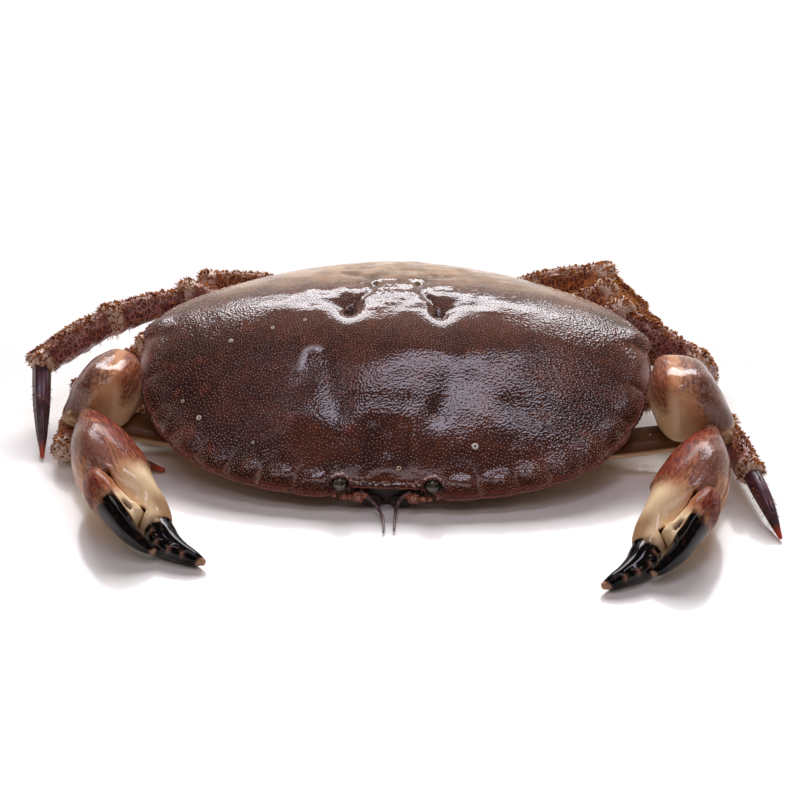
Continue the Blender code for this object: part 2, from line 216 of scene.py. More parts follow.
# The room glows low down behind the crab, as from a white screen, and is dim above and in front
world = bpy.data.worlds.new("room")
bpy.context.scene.world = world
world.use_nodes = True
sky = world.node_tree
toward = node(sky, "ShaderNodeSeparateXYZ", {"Vector": node(sky, "ShaderNodeTexCoord").outputs["Generated"]})
low = node(sky, "ShaderNodeMapRange", {"Value": toward.outputs["Z"], "From Min": 0.6, "From Max": 0.2},
           interpolation_type="SMOOTHSTEP").outputs["Result"]
rearward = node(sky, "ShaderNodeMapRange", {"Value": toward.outputs["Y"], "From Min": -0.2, "From Max": 0.5},
                interpolation_type="SMOOTHSTEP").outputs["Result"]
glow = node(sky, "ShaderNodeMath", {0: low, 1: rearward}, operation="MULTIPLY").outputs[0]
dimming = node(sky, "ShaderNodeMath", {0: glow, 1: 0.87, 2: 0.05}, operation="MULTIPLY_ADD").outputs[0]
plug(sky.nodes["Background"], {"Color": "#fff6ec", "Strength": dimming})
bpy.context.scene.view_settings.view_transform = "Standard"

# %% [markdown]
# ## The back shell
# The shell is a low dome with a thin rounded edge. Nine shallow lobes a side end at short grooves, and soft
# swellings show where the organs lie. The sections come from the same few sizes as the solid's.

# %% Back shell: its sizes
HALF_WIDTH = 89.5
FRONT, FRONT_POWER = 62.5, 2.65
REAR, REAR_POWER = 50.0, 1.75
NOTCHES = np.radians((-14.4, 0.5, 12, 24.3, 35.8, 47.3, 57, 65.8, 74.8, 82.5))
# Height, place aside and along, half width and half length, in mm. Each has a twin on the other side.
SWELLINGS = ((1.3, 0, -18, 19, 17), (1.1, 43, 0, 20, 22), (0.8, 0, 22, 11, 12), (-1.6, 17, 2, 5, 6),
             (0.8, 0, -56, 15, 3.5))
EDGE_HALF_THICKNESS = 1.9
DOME_HEIGHT = 13.2
FACE_BACK, FACE_RISE = 3.0, 2.6  # the edge between the eyes lies further back and higher


def edge_height(y):
    blend = smooth((y + 35) / 70)
    return 30 + y * (0.393 * (1 - blend) + 0.13 * blend)


def outline(angle):
    across, along = np.cos(angle), np.sin(angle)
    power = np.where(along > 0, REAR_POWER, FRONT_POWER)
    depth = np.where(along > 0, REAR, FRONT)
    x = HALF_WIDTH * np.sign(across) * np.abs(across) ** (2 / power)
    y = depth * np.sign(along) * np.abs(along) ** (2 / power)
    return x, y


def share_of_shell(x, y):
    power = np.where(y > 0, REAR_POWER, FRONT_POWER)
    depth = np.where(y > 0, REAR, FRONT)
    return ((np.abs(x) / HALF_WIDTH) ** power + (np.abs(y) / depth) ** power) ** (1 / power)


def swelling(x, y):
    total = 0.0
    for height, aside, along, half_width, half_length in SWELLINGS:
        spread = ((np.abs(x) - aside) / half_width) ** 2 + ((y - along) / half_length) ** 2
        total = total + height * np.exp(-spread)
    return total


def dome(x, y):
    """Height of the smooth back above the ground, without the rounding of its edge."""
    share = np.minimum(share_of_shell(x, y), 1.0)
    fullness = 0.85 - 0.12 * np.clip(y / REAR, -1, 1)
    inside = smooth((1 - share) / 0.3)
    return edge_height(y) + DOME_HEIGHT * (1 - share**2) ** fullness + swelling(x, y) * inside


def rim(share):
    return EDGE_HALF_THICKNESS * np.sqrt(np.maximum(0.0, 1 - share**12))


# %% [markdown]
# Grooves and folds are lines drawn on the back. A helper gives each point's distance to such a line, and the
# surface sinks near it by a bell-shaped amount.

# %% Back shell: its grooves
def distance_to(line, x, y):
    """Distance in mm to a bent line, and how far along it the nearest place is, from 0 to 1."""
    best = np.full(np.shape(x), 1e9)
    where = np.zeros(np.shape(x))
    line = np.array(line, float)
    lengths = np.hypot(*(line[1:] - line[:-1]).T)
    total = lengths.sum()
    start = 0.0
    for (ax, ay), (bx, by), length in zip(line[:-1], line[1:], lengths):
        along = np.clip(((x - ax) * (bx - ax) + (y - ay) * (by - ay)) / length**2, 0, 1)
        gap = np.hypot(x - ax - along * (bx - ax), y - ay - along * (by - ay))
        nearer = gap < best
        where = np.where(nearer, (start + along * length) / total, where)
        best = np.where(nearer, gap, best)
        start += length
    return best, where


# A groove's line in mm, its depth and its half width. Each has a twin on the other side.
GROOVES = (
    (((16, 1), (19, -8), (21, -18), (20.5, -28), (17, -38)), 0.4, 4.2),
    (((15.5, 0.5), (12.5, 6), (9, 10), (8, 16)), 0.75, 1.4),
    (((8, 16), (11, 22), (19, 27)), 0.6, 2.2),
    (((15.5, 0.5), (22, 3.5), (30, 4)), 0.3, 2.6),
    (((29, -27), (40, -34), (52, -35)), 0.3, 5.5),
    (((5, -44), (6, -52), (8, -58)), 0.5, 2.4),
)
PITS = ((-16.1, 0.4), (14.8, -0.7))
SCAR = ((-31.7, -24.2), (-31.6, -21), (-30.5, -17.9), (-28.5, -16.9), (-25.7, -17))


def groove_depth(x, y):
    total = np.zeros(np.shape(x))
    for line, depth, half_width in GROOVES:
        gap, _ = distance_to(line, np.abs(x + 0.5), y)
        total += depth * np.exp(-((gap / half_width) ** 2))
    for pit_x, pit_y in PITS:
        gap = np.hypot(x - pit_x, y - pit_y)
        total += 1.3 * np.exp(-((gap / 2.0) ** 2))
    return total


def wave(x, y, scale, seed):
    """A smooth random height from a few crossed waves, between about -1 and 1."""
    draws = np.random.default_rng(seed)
    total = np.zeros(np.shape(x))
    for _ in range(14):
        turn = draws.uniform(0, 2 * np.pi)
        length = scale * draws.uniform(0.6, 1.7)
        phase = draws.uniform(0, 2 * np.pi)
        total += np.sin((x * np.cos(turn) + y * np.sin(turn)) * 2 * np.pi / length + phase)
    return total / 3.8


# %% [markdown]
# The edge is where the shell's character lies: lobes that swell and then dip into a narrow groove. The rings
# of points crowd together there, so that the grooves stay crisp.

# %% Back shell: the piece
def lobe_place(angle):
    """For an angle round the edge: which lobe, how far across it from 0 to 1, and whether it is on a lobe."""
    from_side = np.arctan2(-np.sin(angle), np.abs(np.cos(angle)))
    index = np.clip(np.searchsorted(NOTCHES, from_side) - 1, 0, len(NOTCHES) - 2)
    across = (from_side - NOTCHES[index]) / (NOTCHES[index + 1] - NOTCHES[index])
    inside = (from_side > NOTCHES[0]) & (from_side < NOTCHES[-1])
    return index, np.clip(across, 0, 1), inside


def notch_nearness(angle, radius):
    """1 in the middle of a groove between two lobes, 0 a millimetre and a half away."""
    from_side = np.arctan2(-np.sin(angle), np.abs(np.cos(angle)))
    gap = np.abs(from_side[..., None] - NOTCHES[1:-1]).min(axis=-1) * radius
    uneven = 0.55 + 0.45 * np.sin(angle * 17 + 1.3) * np.sin(angle * 7.3)
    return np.exp(-((gap / 0.5) ** 2)) * uneven


def shell_surface(angle, share, upper):
    """Places on the back shell, in mm, and the marks that its material reads."""
    edge_x, edge_y = outline(angle)
    radius = np.hypot(edge_x, edge_y)
    x, y = edge_x * share, edge_y * share
    which, across, on_lobe = lobe_place(angle)
    near_edge = smooth((share - 0.86) / 0.14)
    bulge = np.where(on_lobe, 1.2 * (np.sqrt(np.abs(np.sin(np.pi * across))) - 0.55), 0.0)
    bulge = bulge * np.where(which == 0, 2.0, np.where(which == 1, 1.5, 1.0))
    beads = 0.16 * np.sin(angle * 210) * smooth((share - 0.97) / 0.03)
    x = x + edge_x / radius * (bulge * near_edge + beads)
    y = y + edge_y / radius * (bulge * near_edge + beads)
    face = 1 - smooth((np.abs(x) - 12) / 9)
    front_face = np.where(np.sin(angle) < 0, face * near_edge, 0.0)
    y = y + FACE_BACK * front_face

    flat_x, flat_y = edge_x * share, edge_y * share
    lobe_swell = np.where(on_lobe, np.sin(np.pi * across) ** 0.7, 0.0)
    lobe_swell = lobe_swell * np.exp(-(((share - 0.95) / 0.035) ** 2)) * (0.75 + 0.25 * np.sin(angle * 9))
    notch = notch_nearness(angle, radius) * smooth((share - 0.93) / 0.03)
    inside = smooth((1 - share) / 0.12)
    belt = smooth((flat_y + 6) / 10)
    wrinkles = 0.09 * wave(flat_x * 0.7, flat_y, 9.0, 3) + 0.035 * wave(flat_x, flat_y, 3.4, 13)
    wrinkles = wrinkles * belt * inside
    wrinkles = wrinkles * (0.55 + np.exp(-((flat_x / 26) ** 2)))
    lumps = (0.1 * wave(flat_x, flat_y, 26.0, 5) + 0.03 * wave(flat_x, flat_y, 8.0, 15)) * inside
    top = dome(flat_x, flat_y) + rim(share) + lobe_swell - 0.4 * notch
    top = top - groove_depth(flat_x, flat_y) * inside + wrinkles + lumps
    rear_ridge = np.where(flat_y > 0, 0.55 * np.exp(-(((share - 0.985) / 0.012) ** 2)), 0.0)
    top = top + rear_ridge * (1 + 0.35 * np.sin(angle * 150))
    under = edge_height(flat_y) - rim(share) - 2.8 * smooth((1 - share) / 0.35)
    scar = np.exp(-((distance_to(SCAR, flat_x, flat_y)[0] / 0.8) ** 2))
    places = np.stack((x, y, np.where(upper, top + 0.25 * scar, under) + FACE_RISE * front_face), axis=1)
    # A painted highlight on the shoulder of the widest lobe on each side
    lobe_highlight = np.where(which == 1, np.sin(np.pi * across) ** 3, 0.0) * smooth((share - 0.95) / 0.03)
    middle_back = np.exp(-(((flat_y + 2) / 11) ** 2)) * np.exp(-((flat_x / 60) ** 4))
    marks = {
        "notch": notch * upper,
        "edge": smooth((share - 0.978) / 0.016),
        # Where a tan sheen is painted on the rear slope
        "rear": smooth((flat_y - 6) / 26),
        "ruddy": np.maximum(middle_back, 1.6 * front_face),
        # The underside, painted darker as shade
        "under": 1.0 * (~upper & (share < 0.985)),
        # Painted shade in the grooves and pits, darkest where they are deepest
        "groove_shade": np.clip(groove_depth(flat_x, flat_y) / 1.6, 0, 1) * upper,
        # The painted highlight on the shoulders of the widest lobes
        "pale": lobe_highlight * upper * on_lobe,
        "scar": scar * upper,
        "velvet": smooth((np.abs(flat_x + 0.5) - 26) / 40),
    }
    return places, marks


TOP_RINGS = 118
ALL_RINGS = 146
shell, spoke, pole_share = ball("back_shell", 480, ALL_RINGS)
ring = np.rint(pole_share * ALL_RINGS).astype(int)
top_shares = np.concatenate((np.linspace(0, 0.88, 80), 0.88 + 0.12 * np.linspace(0, 1, 40)[1:] ** 0.8))
under_shares = np.linspace(1.0, 0.0, ALL_RINGS - TOP_RINGS + 1)[1:] ** 0.7
all_shares = np.concatenate((top_shares[:TOP_RINGS], [1.0], under_shares))
share = all_shares[ring]
places, marks = shell_surface(spoke, share, ring <= TOP_RINGS)
put(shell, places)
for name, values in marks.items():
    mark(shell, name, values)
print("back shell", len(shell.data.polygons), "faces")

# %% [markdown]
# Wet crab shell is chalky chitin under a film of water. The film gives sharp reflections, broken up by the
# grain, and the shell below is dark brown, mottled with rust, and paler in the short grooves at the edge. Light
# is
# painted in too: a tan sheen over the rear, a highlight on the widest lobes, and shade in the grooves, the pits
# and under the edge.
# Each colour is painted over the last where a mark on the points, or some noise, lets it through.

# %% Wet shell
def product(tree, *parts):
    """The product of marks, given by name, of numbers and of node outputs."""
    total = None
    for part in parts:
        if isinstance(part, str):
            part = node(tree, "ShaderNodeAttribute", attribute_name=part).outputs["Fac"]
        if total is None:
            total = part
        else:
            total = node(tree, "ShaderNodeMath", {0: total, 1: part}, operation="MULTIPLY").outputs[0]
    return total


def paint(tree, under, over, *parts):
    """Lays a colour over another, as thick as the product of the parts says."""
    return node(tree, "ShaderNodeMix", {0: product(tree, *parts), 6: under, 7: over},
                data_type="RGBA", clamp_factor=True).outputs[2]


def spots(tree, place, scale, low, high):
    """Cloudy noise between two levels, from 0 to 1. The scale is in lumps a metre."""
    noise = node(tree, "ShaderNodeTexNoise", {"Vector": place, "Scale": scale, "Detail": 3.0})
    return node(tree, "ShaderNodeMapRange", {"Value": noise.outputs["Fac"], "From Min": low, "From Max": high},
                interpolation_type="SMOOTHSTEP").outputs["Result"]


shell_finish, tree, shader = new_finish("wet granular crab shell")
here = node(tree, "ShaderNodeTexCoord").outputs["Object"]
brown = paint(tree, "#38170e", "#5b2a19", spots(tree, here, 55, 0.32, 0.7))
brown = paint(tree, brown, "#7a3316", spots(tree, here, 190, 0.56, 0.72), 0.6)
brown = paint(tree, brown, "#1c0a08", spots(tree, here, 420, 0.5, 0.7), 0.4)
brown = paint(tree, brown, "#7a4224", "ruddy", 0.4)
# Painted sheen: tan over the rear slope, standing for the pale reflection of the bright room behind
tan = paint(tree, "#8f6c4c", "#c59e76", spots(tree, here, 110, 0.35, 0.7))
brown = paint(tree, brown, tan, "rear", 0.88)
brown = paint(tree, brown, "#9c5648", "edge", 0.7)
# Painted highlight: pale greyish pink on the shoulder of the widest lobe
brown = paint(tree, brown, "#c9b0ac", "pale", 0.5)
brown = paint(tree, brown, "#c99a78", "notch", spots(tree, here, 160, 0.3, 0.7), 0.8)
# Painted shade: near black in the grooves and pits
brown = paint(tree, brown, "#1c0c09", "groove_shade", 0.7)
brown = paint(tree, brown, "#b3aaae", "scar", 0.85)
# Painted shade: the shell's underside is a mid brown, darker than the cream belly, for the shade under the edge
brown = paint(tree, brown, "#8a6248", "under")
# Cells of 0.9 mm between the granules, deeper at the sides
grain = node(tree, "ShaderNodeTexVoronoi", {"Vector": here, "Scale": 1100.0})
depth = node(tree, "ShaderNodeMath", {0: product(tree, "velvet"), 1: 0.35, 2: 0.2}, operation="MULTIPLY_ADD")
bump = node(tree, "ShaderNodeBump", {"Height": grain.outputs["Distance"], "Strength": depth.outputs[0],
                                     "Distance": 0.0002}).outputs["Normal"]
plug(shader, {"Base Color": brown, "Normal": bump, "Coat Normal": bump, "Roughness": 0.55, "IOR": 1.5,
              "Specular IOR Level": 0.1, "Coat Weight": 1.0, "Coat Roughness": 0.08})
dress(shell, shell_finish, "back_shell", "carapace")

# %% [markdown]
# ## Limbs
# A crab's limb is a chain of hollow pieces. Each is a ball pulled out along a bent path, with its own widths
# and heights on the way. Its points keep their place along and across the limb, so that marks can follow it.

# %% Limbs: the helper
def between(values, share):
    """Values on the smooth curve through evenly spaced rows, at shares from 0 to 1."""
    values = np.asarray(values, float)
    last = len(values) - 1
    place = np.clip(share, 0, 1) * last
    low = np.minimum(place.astype(int), last - 1)
    part = place - low
    if values.ndim > 1:
        part = part[:, None]
    before, start = values[np.maximum(low - 1, 0)], values[low]
    end, after = values[low + 1], values[np.minimum(low + 2, last)]
    return (start * (1 - 3 * part**2 + 2 * part**3) + end * (3 * part**2 - 2 * part**3)
            + (end - before) * 0.5 * (part - 2 * part**2 + part**3)
            + (after - start) * 0.5 * (part**3 - part**2))


def unit(vectors):
    return vectors / np.linalg.norm(vectors, axis=-1, keepdims=True)


def limb(name, around, rings, points, widths, heights, side, cap=0.07):
    """A ball pulled along a path. Returns it, its places in mm, its outward directions and its limb places."""
    made, angle, pole_share = ball(name, around, rings)
    body = np.clip((pole_share - cap) / (1 - 2 * cap), 0, 1)
    end = np.clip(np.maximum((cap - pole_share) / cap, (pole_share - 1 + cap) / cap), 0, 1)
    scale = np.sqrt(1 - end**2)
    here = between(points, body)
    tangent = unit(between(points, body + 0.01) - between(points, body - 0.01))
    side = np.asarray(side, float)
    across = unit(side - tangent * (tangent @ side)[:, None])
    upward = unit(np.cross(tangent, across))
    width, height = between(widths, body), between(heights, body)
    here = here + tangent * (np.sign(pole_share - 0.5) * end * 0.55 * width)[:, None]
    cosine, sine = np.cos(angle), np.sin(angle)
    out = unit(across * (cosine / width)[:, None] + upward * (sine / height)[:, None])
    out = unit(out * scale[:, None] + tangent * (np.sign(pole_share - 0.5) * end)[:, None])
    places = here + across * (cosine * width * scale)[:, None] + upward * (sine * height * scale)[:, None]
    length = np.linalg.norm(np.diff(np.asarray(points, float), axis=0), axis=1).sum()
    inner = np.stack((body * length, cosine * width * scale, sine * height * scale), axis=1)
    return made, places, out, inner, body, angle


def mark_place(made, inner):
    """Keeps each point's place along, across and up the limb, in metres, for patterns that follow it."""
    layer = made.data.attributes.new("limb", "FLOAT_VECTOR", "POINT")
    layer.data.foreach_set("vector", (inner * MM).astype(np.float32).ravel())


# %% [markdown]
# ## The claws
# A palm ends in a fixed finger, and the moving finger hinges on it with a flat cream plate. Every line on the
# claw is given in millimetres along the palm and outward of it, so both claws are made by the same numbers.

# %% Claws: their sizes
# Where each palm starts and its finger ends, the wrist's middle, and the wrist's size
CLAWS = {
    "right": ((-99, -35, 21), (-57, -97, 2.8), (-100.8, -23.4, 23.0), 1.0),
    "left": ((103.5, -36, 21), (71.6, -104, 2.8), (102.8, -24.2, 26.2), 1.07),
}
CLAW_MARKS = ("black", "tip", "tooth", "red", "purple", "cream", "dark", "brown")
# Along, outward, up, half width and half height of the palm, then of the moving finger
PALM = (
    (0.5, 5.6, 0.0, 3.4, 4.0), (6, 6.8, 0.6, 5.9, 6.6), (12, 8.0, 1.1, 8.6, 9.0),
    (18, 8.9, 1.0, 10.9, 10.8), (25, 9.5, 0.4, 12.5, 11.4), (32, 9.8, 0.0, 12.9, 10.8),
    (36.5, 8.8, -0.4, 11.3, 9.9), (41, 7.6, -0.9, 9.5, 8.8), (46, 6.6, -1.4, 7.6, 7.4),
    (52, 6.2, -1.8, 6.4, 6.5), (58, 6.6, -1.8, 5.4, 5.8), (64, 6.5, -1.6, 4.8, 5.0),
    (70, 4.9, -1.0, 3.8, 3.9), (74.5, 2.8, -0.4, 2.5, 2.7), (78.0, 0.6, 0.0, 0.9, 1.0),
)
FINGER = (
    (31, 17.6, 2.4, 3.6, 4.6), (34.5, 18.6, 3.0, 4.4, 6.6), (39, 19.15, 3.4, 5.0, 7.2),
    (43.5, 18.7, 3.2, 4.95, 7.0), (48, 18.2, 2.6, 4.5, 6.4), (52, 17.85, 1.9, 4.0, 5.6),
    (56, 17.45, 1.0, 3.3, 4.6), (60, 16.2, 0.0, 2.6, 3.6), (64, 14.3, -0.9, 1.8, 2.3),
    (66.5, 12.4, -1.4, 0.8, 1.0),
)
# How far the moving finger's flat plate reaches inwards, by its place along
PLATE = ((38, 0.0), (41, 0.5), (45, 1.3), (49, 2.5), (50.4, 3.8), (52.6, 4.3), (54.2, 2.4), (55.6, 0.0))
# The gap round the moving finger, painted dark as shade: its inner edge, and its seam with the palm
FINGER_EDGE = ((33, 16.2), (36.5, 15.7), (41.3, 14.9), (45, 13.3), (49, 11.8), (50.4, 10.2), (52.4, 9.5),
               (54.2, 11.5), (55.8, 14.6), (60, 13.4), (66, 9.5))
SEAM = ((14.0, 36.4), (18.6, 35.9), (22.2, 36.9), (24.0, 38.4))
TEETH = ((60.6, 10.6), (64.8, 10.6), (69.4, 8.6), (73.4, 6.0))
PALM_LOWEST = 0.05  # mm above the ground


def claw_frame(name):
    """The palm's start and its directions along, outward and up."""
    start, tip = np.array(CLAWS[name][:2], float)
    side = 1 if name == "left" else -1
    along = unit(tip - start)
    outward = unit(np.array((-along[1] * side, along[0] * side, 0.0)))
    outward = outward * np.sign(outward[0] * side)
    upward = np.cross(along, outward)
    return start, along, outward, upward * np.sign(upward[2])


def steps(line, x):
    """The height at x of a bent line given as pairs."""
    xs, ys = zip(*line)
    return np.interp(x, xs, ys)


# %% [markdown]
# The palm's surface drops where the moving finger lies in it, which leaves a real gap all round the
# finger, painted dark as shade as well. Four blunt teeth stand on the fixed finger.

# %% Claws: palm and finger
def claw_path(name, sections):
    start, along, outward, upward = claw_frame(name)
    sections = np.array(sections)
    points = start + sections[:, :1] * along + sections[:, 1:2] * outward + sections[:, 2:3] * upward
    return points, sections[:, 3], sections[:, 4], outward


def claw_places(name, places):
    """Along, outward and up of each place on a claw."""
    start, along, outward, upward = claw_frame(name)
    away = places - start
    return away @ along, away @ outward, away @ upward


def mark_claw(made, inner, **marks):
    """Keeps the limb place and all the marks that the claws' finish reads, 0 where one isn't given."""
    mark_place(made, inner)
    for name in CLAW_MARKS:
        mark(made, name, marks.get(name, np.zeros(len(inner))))


def make_palm(name):
    points, widths, heights, outward = claw_path(name, PALM)
    made, places, out, inner, *_ = limb(f"{name}_palm", 120, 250, points, widths, heights, outward, 0.05)
    along, aside, up = claw_places(name, places)
    in_finger = smooth((aside - steps(FINGER_EDGE, along) + 0.7) / 0.7) * (1 - smooth((along - 57) / 3))
    in_finger = in_finger * smooth((along - steps(SEAM, aside) + 0.6) / 0.7)
    tooth = np.zeros(len(places))
    for tooth_along, tooth_aside in TEETH:
        gap = np.hypot(along - tooth_along, aside - tooth_aside)
        tooth = np.maximum(tooth, np.exp(-((gap / 0.95) ** 2)))
    upness = np.where(out[:, 2] > 0, 1.0, 0.0)
    relief = 0.22 * wave(along * 0.5, aside, 9.0, 11) + 0.7 * tooth * upness - 4.2 * in_finger * upness
    waist = np.exp(-(((along - 58) / 2.2) ** 2)) * 0.35
    places = places + out * (relief - waist)[:, None]
    frame_up = claw_frame(name)[3]
    slope = 0.15 * (aside - 9.5) * upness * (1 - smooth((along - 34) / 8))
    places = places + frame_up * slope[:, None]
    places[:, 2] = np.maximum(places[:, 2], PALM_LOWEST)
    put(made, places)
    inner_side = np.exp(-(((aside - 2.5) / 9.6) ** 4)) * smooth((along - 1) / 6)
    inner_side = inner_side * (1 - smooth((along - 29) / 10))
    outer_part = smooth((aside - 9) / 4) * (1 - smooth((along - 31) / 9))
    near_part = 0.6 * smooth((17 - along) / 10) * smooth((aside + 3) / 5)
    pale_edge = 0.65 * smooth((aside - 18) / 4) * smooth((along - 14) / 12)
    mark_claw(made, inner,
              brown=smooth((along - 43) / 9) * smooth((9 - aside) / 5) * 0.8,
              black=smooth((along - 55.6 + 0.9 * wave(aside, along, 6.0, 2)) / 2.8),
              tip=smooth((along - 77.0) / 0.8),
              tooth=tooth * upness,
              red=inner_side * smooth((up + 11) / 6),
              purple=np.maximum(outer_part, near_part) * (1 - pale_edge) * smooth((up + 5) / 7),
              cream=np.maximum(smooth((along - 31 - 0.5 * (aside - 4)) / 9), 1 - smooth((up + 11) / 6)),
              # dark: painted shade in the sunken gap where the moving finger lies
              dark=in_finger * upness)
    return made


def make_finger(name):
    points, widths, heights, outward = claw_path(name, FINGER)
    made, places, out, inner, *_ = limb(f"{name}_finger", 96, 200, points, widths, heights, outward, 0.05)
    along, aside, up = claw_places(name, places)
    middle = np.interp(along, np.array(FINGER)[:, 0], np.array(FINGER)[:, 1])
    reach = steps(PLATE, along) * smooth((middle - aside + 1.0) / 4.0)
    places = places - outward * reach[:, None]
    aside = aside - reach
    ridge = np.interp(along, (36, 46.3, 52.9, 60.8, 66.5), (19.5, 20.4, 18.9, 16.0, 11.5))
    shelf = smooth((ridge - 2.2 - aside) / 2.0) * (1 - smooth((along - 56) / 2)) * smooth((along - 38) / 4)
    upness = smooth(out[:, 2] / 0.3)
    upward = claw_frame(name)[3]
    places = places - upward * (shelf * upness * 0.9)[:, None]
    crest = 0.5 * np.exp(-(((aside - ridge) / 1.0) ** 2)) * upness * smooth((along - 42) / 6)
    places = places + upward * crest[:, None]
    hole = np.hypot((along - 50.6) / 1.9, (aside - 15.2 + 0.35 * (along - 50.6)) / 0.9)
    cavity = np.exp(-(hole**4)) * upness
    places = places - upward * (cavity * 1.8)[:, None]
    hinge = np.exp(-((np.hypot(along - 38.8, aside - 13.9) / 1.5) ** 2)) * upness
    places = places + upward * (hinge * 0.7)[:, None]
    put(made, places)
    plate = smooth((ridge - 1.8 - aside) / 1.4) * (1 - smooth((along - 55.2) / 0.8))
    black_start = smooth((along - 43.0 + 0.16 * (aside - 20) ** 2 * (aside < 20)) / 5.0)
    mark_claw(made, inner,
              black=np.maximum(black_start * (1 - plate), smooth((along - 55.4) / 0.8)),
              tip=smooth((along - 66.0) / 0.7),
              red=((1 - smooth((along - 41) / 7)) * smooth((aside - 14) / 4) * 0.8
                   + 0.5 * smooth((along - 63) / 3)),
              purple=0.7 * smooth((aside - 18.5) / 3) * (1 - smooth((along - 41) / 8)),
              cream=np.maximum(plate * smooth((along - 42) / 6), 1 - smooth((up + 6) / 6)),
              # dark: painted shade in the hole in the finger's plate
              dark=np.clip(cavity * 1.2, 0, 1))
    return made


palms, fingers = {}, {}
for name in CLAWS:
    palms[name] = make_palm(name)
    fingers[name] = make_finger(name)
print("claws", sum(len(p.data.polygons) for p in (*palms.values(), *fingers.values())), "faces")


# %% [markdown]
# The wrist is a rounded box that leans in towards the shell, with a small knob where the palm turns on it. The
# arm behind it shows only in the gap between claw and shell.

# %% Claws: wrist, knob and arm
WRIST_RADII = np.array((11.8, 13.0, 12.4))
WRIST_TILT = math.radians(14)
ARM = ((34, -28, 8), (66, -27, 7.0), (98, -25.4, 10.6))


def make_wrist(name):
    side = 1 if name == "left" else -1
    middle, size = np.array(CLAWS[name][2], float), CLAWS[name][3]
    made, angle, pole_share = ball(f"{name}_wrist", 96, 64)
    turn = np.pi * pole_share
    flat = np.abs(np.sin(turn)) ** 0.56
    x = side * np.sign(np.cos(angle)) * np.abs(np.cos(angle)) ** 0.7 * flat * WRIST_RADII[0]
    y = np.sign(np.sin(angle)) * np.abs(np.sin(angle)) ** 0.7 * flat * WRIST_RADII[1]
    z = np.sign(np.cos(turn)) * np.abs(np.cos(turn)) ** 0.58 * WRIST_RADII[2]
    rise = z / WRIST_RADII[2]
    x = x * (1 - 0.24 * rise) - side * (0.6 + 3.4 * rise)
    z = z - 0.012 * np.clip(x * side, 0, 20) ** 2
    turned_x = x * math.cos(WRIST_TILT) - y * math.sin(WRIST_TILT) * side
    turned_y = x * math.sin(WRIST_TILT) * side + y * math.cos(WRIST_TILT)
    places = middle + size * np.stack((turned_x, turned_y, z), axis=1)
    out = unit(places - middle)
    places = places + out * (0.3 * wave(turned_x, turned_y + z, 11.0, 23))[:, None]
    put(made, places)
    outer_x = turned_x * side
    leaning = outer_x + 0.45 * z
    inner = np.stack((turned_y, outer_x, z), axis=1)
    mark_claw(made, inner,
              red=0.75 * smooth((-outer_x - 6.5) / 3) * smooth((z + 3) / 6),
              purple=np.maximum(smooth((leaning - 0.5) / 7) * smooth((z + 9) / 6),
                                0.7 * smooth((z - 7) / 4) * smooth((outer_x + 7) / 5)),
              cream=np.maximum(1 - smooth((z + 10) / 5),
                               0.5 * smooth((2.5 - leaning) / 5) * (1 - smooth((z - 2) / 8))),
              brown=0.5 * smooth((leaning + 1) / 5) * smooth((3 - z) / 7))
    return made


wrists, arms = {}, {}
for name in CLAWS:
    side = 1 if name == "left" else -1
    wrists[name] = make_wrist(name)
    points = np.array(ARM) * (side, 1, 1)
    made, places, out, inner, *_ = limb(f"{name}_arm", 40, 50, points, (7.0, 7.6, 7.0), (4.6, 3.9, 4.0),
                                         (0, 1, 0))
    put(made, places)
    # The arm's top is painted darker brown: painted shade from the shell edge above it
    mark_claw(made, inner, dark=0.5 * smooth((out[:, 2] + 0.1) / 0.5), brown=smooth((out[:, 2] + 0.2) / 0.5),
              cream=np.full(len(places), 0.7))
    arms[name] = made
KNOBS = (((-109.5, -33.2, 17.6), (2.9, 2.4, 2.8)), ((-106.6, -35.6, 15.4), (2.2, 2.0, 2.2)),
         ((114.4, -34.2, 16.8), (2.9, 2.4, 2.8)), ((111.6, -36.6, 14.8), (2.2, 2.0, 2.2)))

# %% [markdown]
# Claw shell is the same chitin, polished by use. Dark streaks run along it over orange, cream shows where it is
# thin, and the tips are black, dense and glassy.

# %% Glossy claw shell
def ragged(tree, mark_name, noise, low, high):
    """A mark with its border broken up by noise."""
    broken = node(tree, "ShaderNodeMath", {0: noise, 1: 0.4, 2: product(tree, mark_name)},
                  operation="MULTIPLY_ADD").outputs[0]
    return node(tree, "ShaderNodeMapRange", {"Value": broken, "From Min": low, "From Max": high},
                interpolation_type="SMOOTHSTEP").outputs["Result"]


claw_finish, tree, shader = new_finish("polished claw shell")
limb_place = node(tree, "ShaderNodeAttribute", attribute_name="limb").outputs["Vector"]
# Streaks 3 mm long and 1 mm wide
streaky = node(tree, "ShaderNodeMapping", {"Vector": limb_place, "Scale": (330, 950, 950)}).outputs["Vector"]
streaks = spots(tree, streaky, 1.0, 0.4, 0.62)
cloudy = spots(tree, limb_place, 130, 0.3, 0.7)
purple = ragged(tree, "purple", streaks, 0.25, 1.15)
black = ragged(tree, "black", spots(tree, limb_place, 520, 0.3, 0.7), 0.55, 1.15)
streaky_red = node(tree, "ShaderNodeMath", {0: streaks, 1: 0.15, 2: 0.85}, operation="MULTIPLY_ADD").outputs[0]
tooth = node(tree, "ShaderNodeMath", {0: product(tree, "tooth"), 1: 2.2}, operation="POWER").outputs[0]
skin = paint(tree, "#d08a5e", "#e2aa7c", cloudy)
skin = paint(tree, skin, "#fbdcae", "cream")
